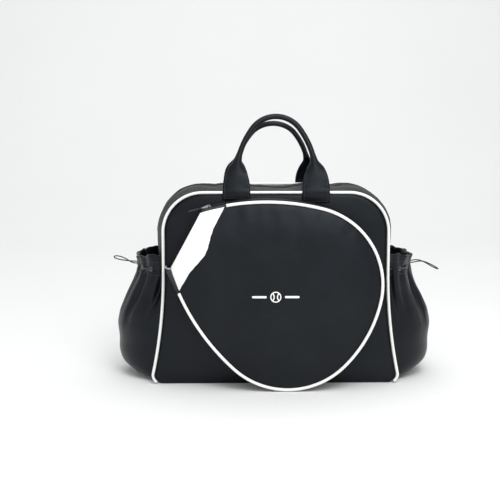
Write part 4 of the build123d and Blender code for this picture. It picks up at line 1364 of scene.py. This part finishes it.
def coil(path, normals, across, gap, half, depth, pitch, r):
    """Two interlocked rows of coil turns beside a slit, as points and faces."""
    both = resample(np.concatenate([path, normals, across], 1), pitch)
    parts = []
    for i, row in enumerate(both):
        p = row[:3]
        n = row[3:6] / np.linalg.norm(row[3:6])
        side = row[6:9] / np.linalg.norm(row[6:9])
        sign = 1 if i % 2 else -1
        inner = p + side * sign * gap - n * depth
        outer = p + side * sign * half - n * (depth + 0.3)
        parts.append(capsule(inner, outer, r, n, sides=6, flat=1.0))
        low = outer - n * 0.9
        parts.append(capsule(outer, low, r * 0.8, side, sides=6, flat=1.0))
    return parts


def add_zip(name, node, run, tape_sizes, coil_sizes):
    """One zip's two tapes and its coil. run is (path, normals, directions across)."""
    path, normals, across = run
    near, far, depth, thick = tape_sizes
    for end, sign in (("front", -1), ("rear", 1)):
        columns = np.linspace(sign * near, sign * far, 6)
        grid = np.stack([path + across * c - normals * depth for c in columns], 1)
        piece = shell_grid(f"{name}_tape_{end}", grid, thick)
        dress(piece, "zip_tape", nodes=[f"{node}_tape_{end}"])
    teeth = join(f"{name}_coil", coil(*run, *coil_sizes))
    dress(teeth, "zip_chain", nodes=[f"{node}_chain"])


def add_zips():
    """Tapes and coils of both zips."""
    path, normals = zip_run()
    across = np.broadcast_to([0.0, 1.0, 0.0], path.shape)
    add_zip("main", "main_zip", (path, normals, across), (2.4, 15.0, 3.3, 0.7), (0.15, 3.0, 1.9, 1.35, 0.52))

    s = np.linspace(POCKET.starts[4] - POCKET.r2 * radians(54.0), POCKET.total - 1.0, 220)
    uv, normal = POCKET.at(s, POCKET_TAPER * (ZIP_Y - POCKET_Y) / (-HALF_DEPTH - POCKET_Y))
    path = POCKET.world(uv, ZIP_Y)
    slope = atan2(POCKET_TAPER, -HALF_DEPTH - POCKET_Y)
    normals = POCKET.world_dir(normal) * cos(slope) + np.array([0, -sin(slope), 0])
    along = np.gradient(path, axis=0)
    across = np.cross(normals, along)
    across /= np.linalg.norm(across, axis=1, keepdims=True)
    across *= np.sign(across[:, 1:2])
    run = (path, normals, across)
    add_zip("pocket", "racket_pocket_zip", run, (2.1, 10.0, 2.1, 0.6), (0.15, 2.5, 0.9, 1.25, 0.46))


# ---- inner cloth


def add_inner_cloth():
    """The lining under the gusset, on both sides of the zip, a few millimetres inside the leather."""
    edge = panel_edge_w(HALF_DEPTH - 4)
    spans = [("flare", 0.05, 1.0, 30), ("side", 0.0, 1.0, 16)]
    spans += [("corner", 0.0, 1.0, 24), ("top", 0.0, 1.0, 26)]
    run0, run1 = whole(body_outline(0, spans)), whole(body_outline(1, spans))
    for name, w0, w1 in (("front", -edge, -panel_edge_w(16)), ("rear", panel_edge_w(16), edge)):
        ws = np.linspace(w0, w1, 16)
        points = body_grid(run0, run1, ws, 5.5)
        points[:, :, 2] -= top_sag(points[:, :, 0], points[:, :, 2], ws[None, :])
        piece = shell_grid(f"inner_cloth_{name}", points, 0.6)
        dress(piece, "lining", nodes=["lining"])


# ---- the stage


def add_stage():
    """A pale floor that curves up behind, soft lights from above, in front and behind, and a bright room."""
    size, back, bend = 6.0, 3.2, 1.6
    turns = np.linspace(0, pi / 2, 24)
    ys = [-size, -1.0] + [back - bend + bend * sin(a) for a in turns] + [back]
    zs = [0.0, 0.0] + [bend - bend * cos(a) for a in turns] + [size]
    points = [(x / MM, y / MM, z / MM) for x in (-size, size) for y, z in zip(ys, zs)]
    n = len(ys)
    floor = mesh_piece("floor", points, [(i, i + 1, n + i + 1, n + i)[::-1] for i in range(n - 1)])
    material, tree, shader = principled("paper", Roughness=0.9)
    cloud = texture(tree, "ShaderNodeTexNoise", 2.0, Detail=2.0)
    colour_mix(tree, cloud.outputs["Fac"], (0.865, 0.873, 0.869), (0.875, 0.883, 0.879), shader)
    floor.data.materials.append(material)

    lights = [
        ("top", (0.0, -0.3, 2.4), (0, 0, 0), 2.2, 14.0),
        ("front", (0.7, -4.0, 1.5), (0, 0, 0.3), 2.0, 22.0),
        ("key", (0.35, -1.1, 1.3), (0, 0, 0.38), 0.8, 9.0),
        ("above", (0.3, -2.2, 2.8), (0, 0, 0.2), 1.4, 14.0),
        ("back", (0.0, 1.6, 2.8), (0, 3.0, 0.5), 2.4, 15.0),
    ]
    for name, place, aim, size, power in lights:
        data = bpy.data.lights.new(name, "AREA")
        data.shape = "SQUARE"
        data.size = size
        data.energy = power
        lamp = new_object(name, data)
        lamp.location = place
        lamp.rotation_euler = (Vector(aim) - Vector(place)).to_track_quat("-Z", "Y").to_euler()
    world = bpy.data.worlds.new("room")
    world.use_nodes = True
    background = world.node_tree.nodes["Background"]
    background.inputs["Color"].default_value = (1.0, 1.0, 1.0, 1)
    background.inputs["Strength"].default_value = 0.65
    bpy.context.scene.world = world
    bpy.context.scene.view_settings.view_transform = "Standard"


add_camera()
add_loops()
add_stage()
finish_cad_nodes()
add_gusset()
add_flat_panels()
STUFFING = simulate_front()
add_pocket_front()
add_pocket_gusset()
add_emblem()
add_handle("front_handle", -1, 12.0, (312.6, 307.5), 20.0, 140.0)
add_handle("back_handle", 1, 27.0, (262.0, 262.0), 17.0, 150.0)
add_end_pocket("right", 1, 2.3)
add_end_pocket("left", -1, 5.1)
add_zips()
add_inner_cloth()
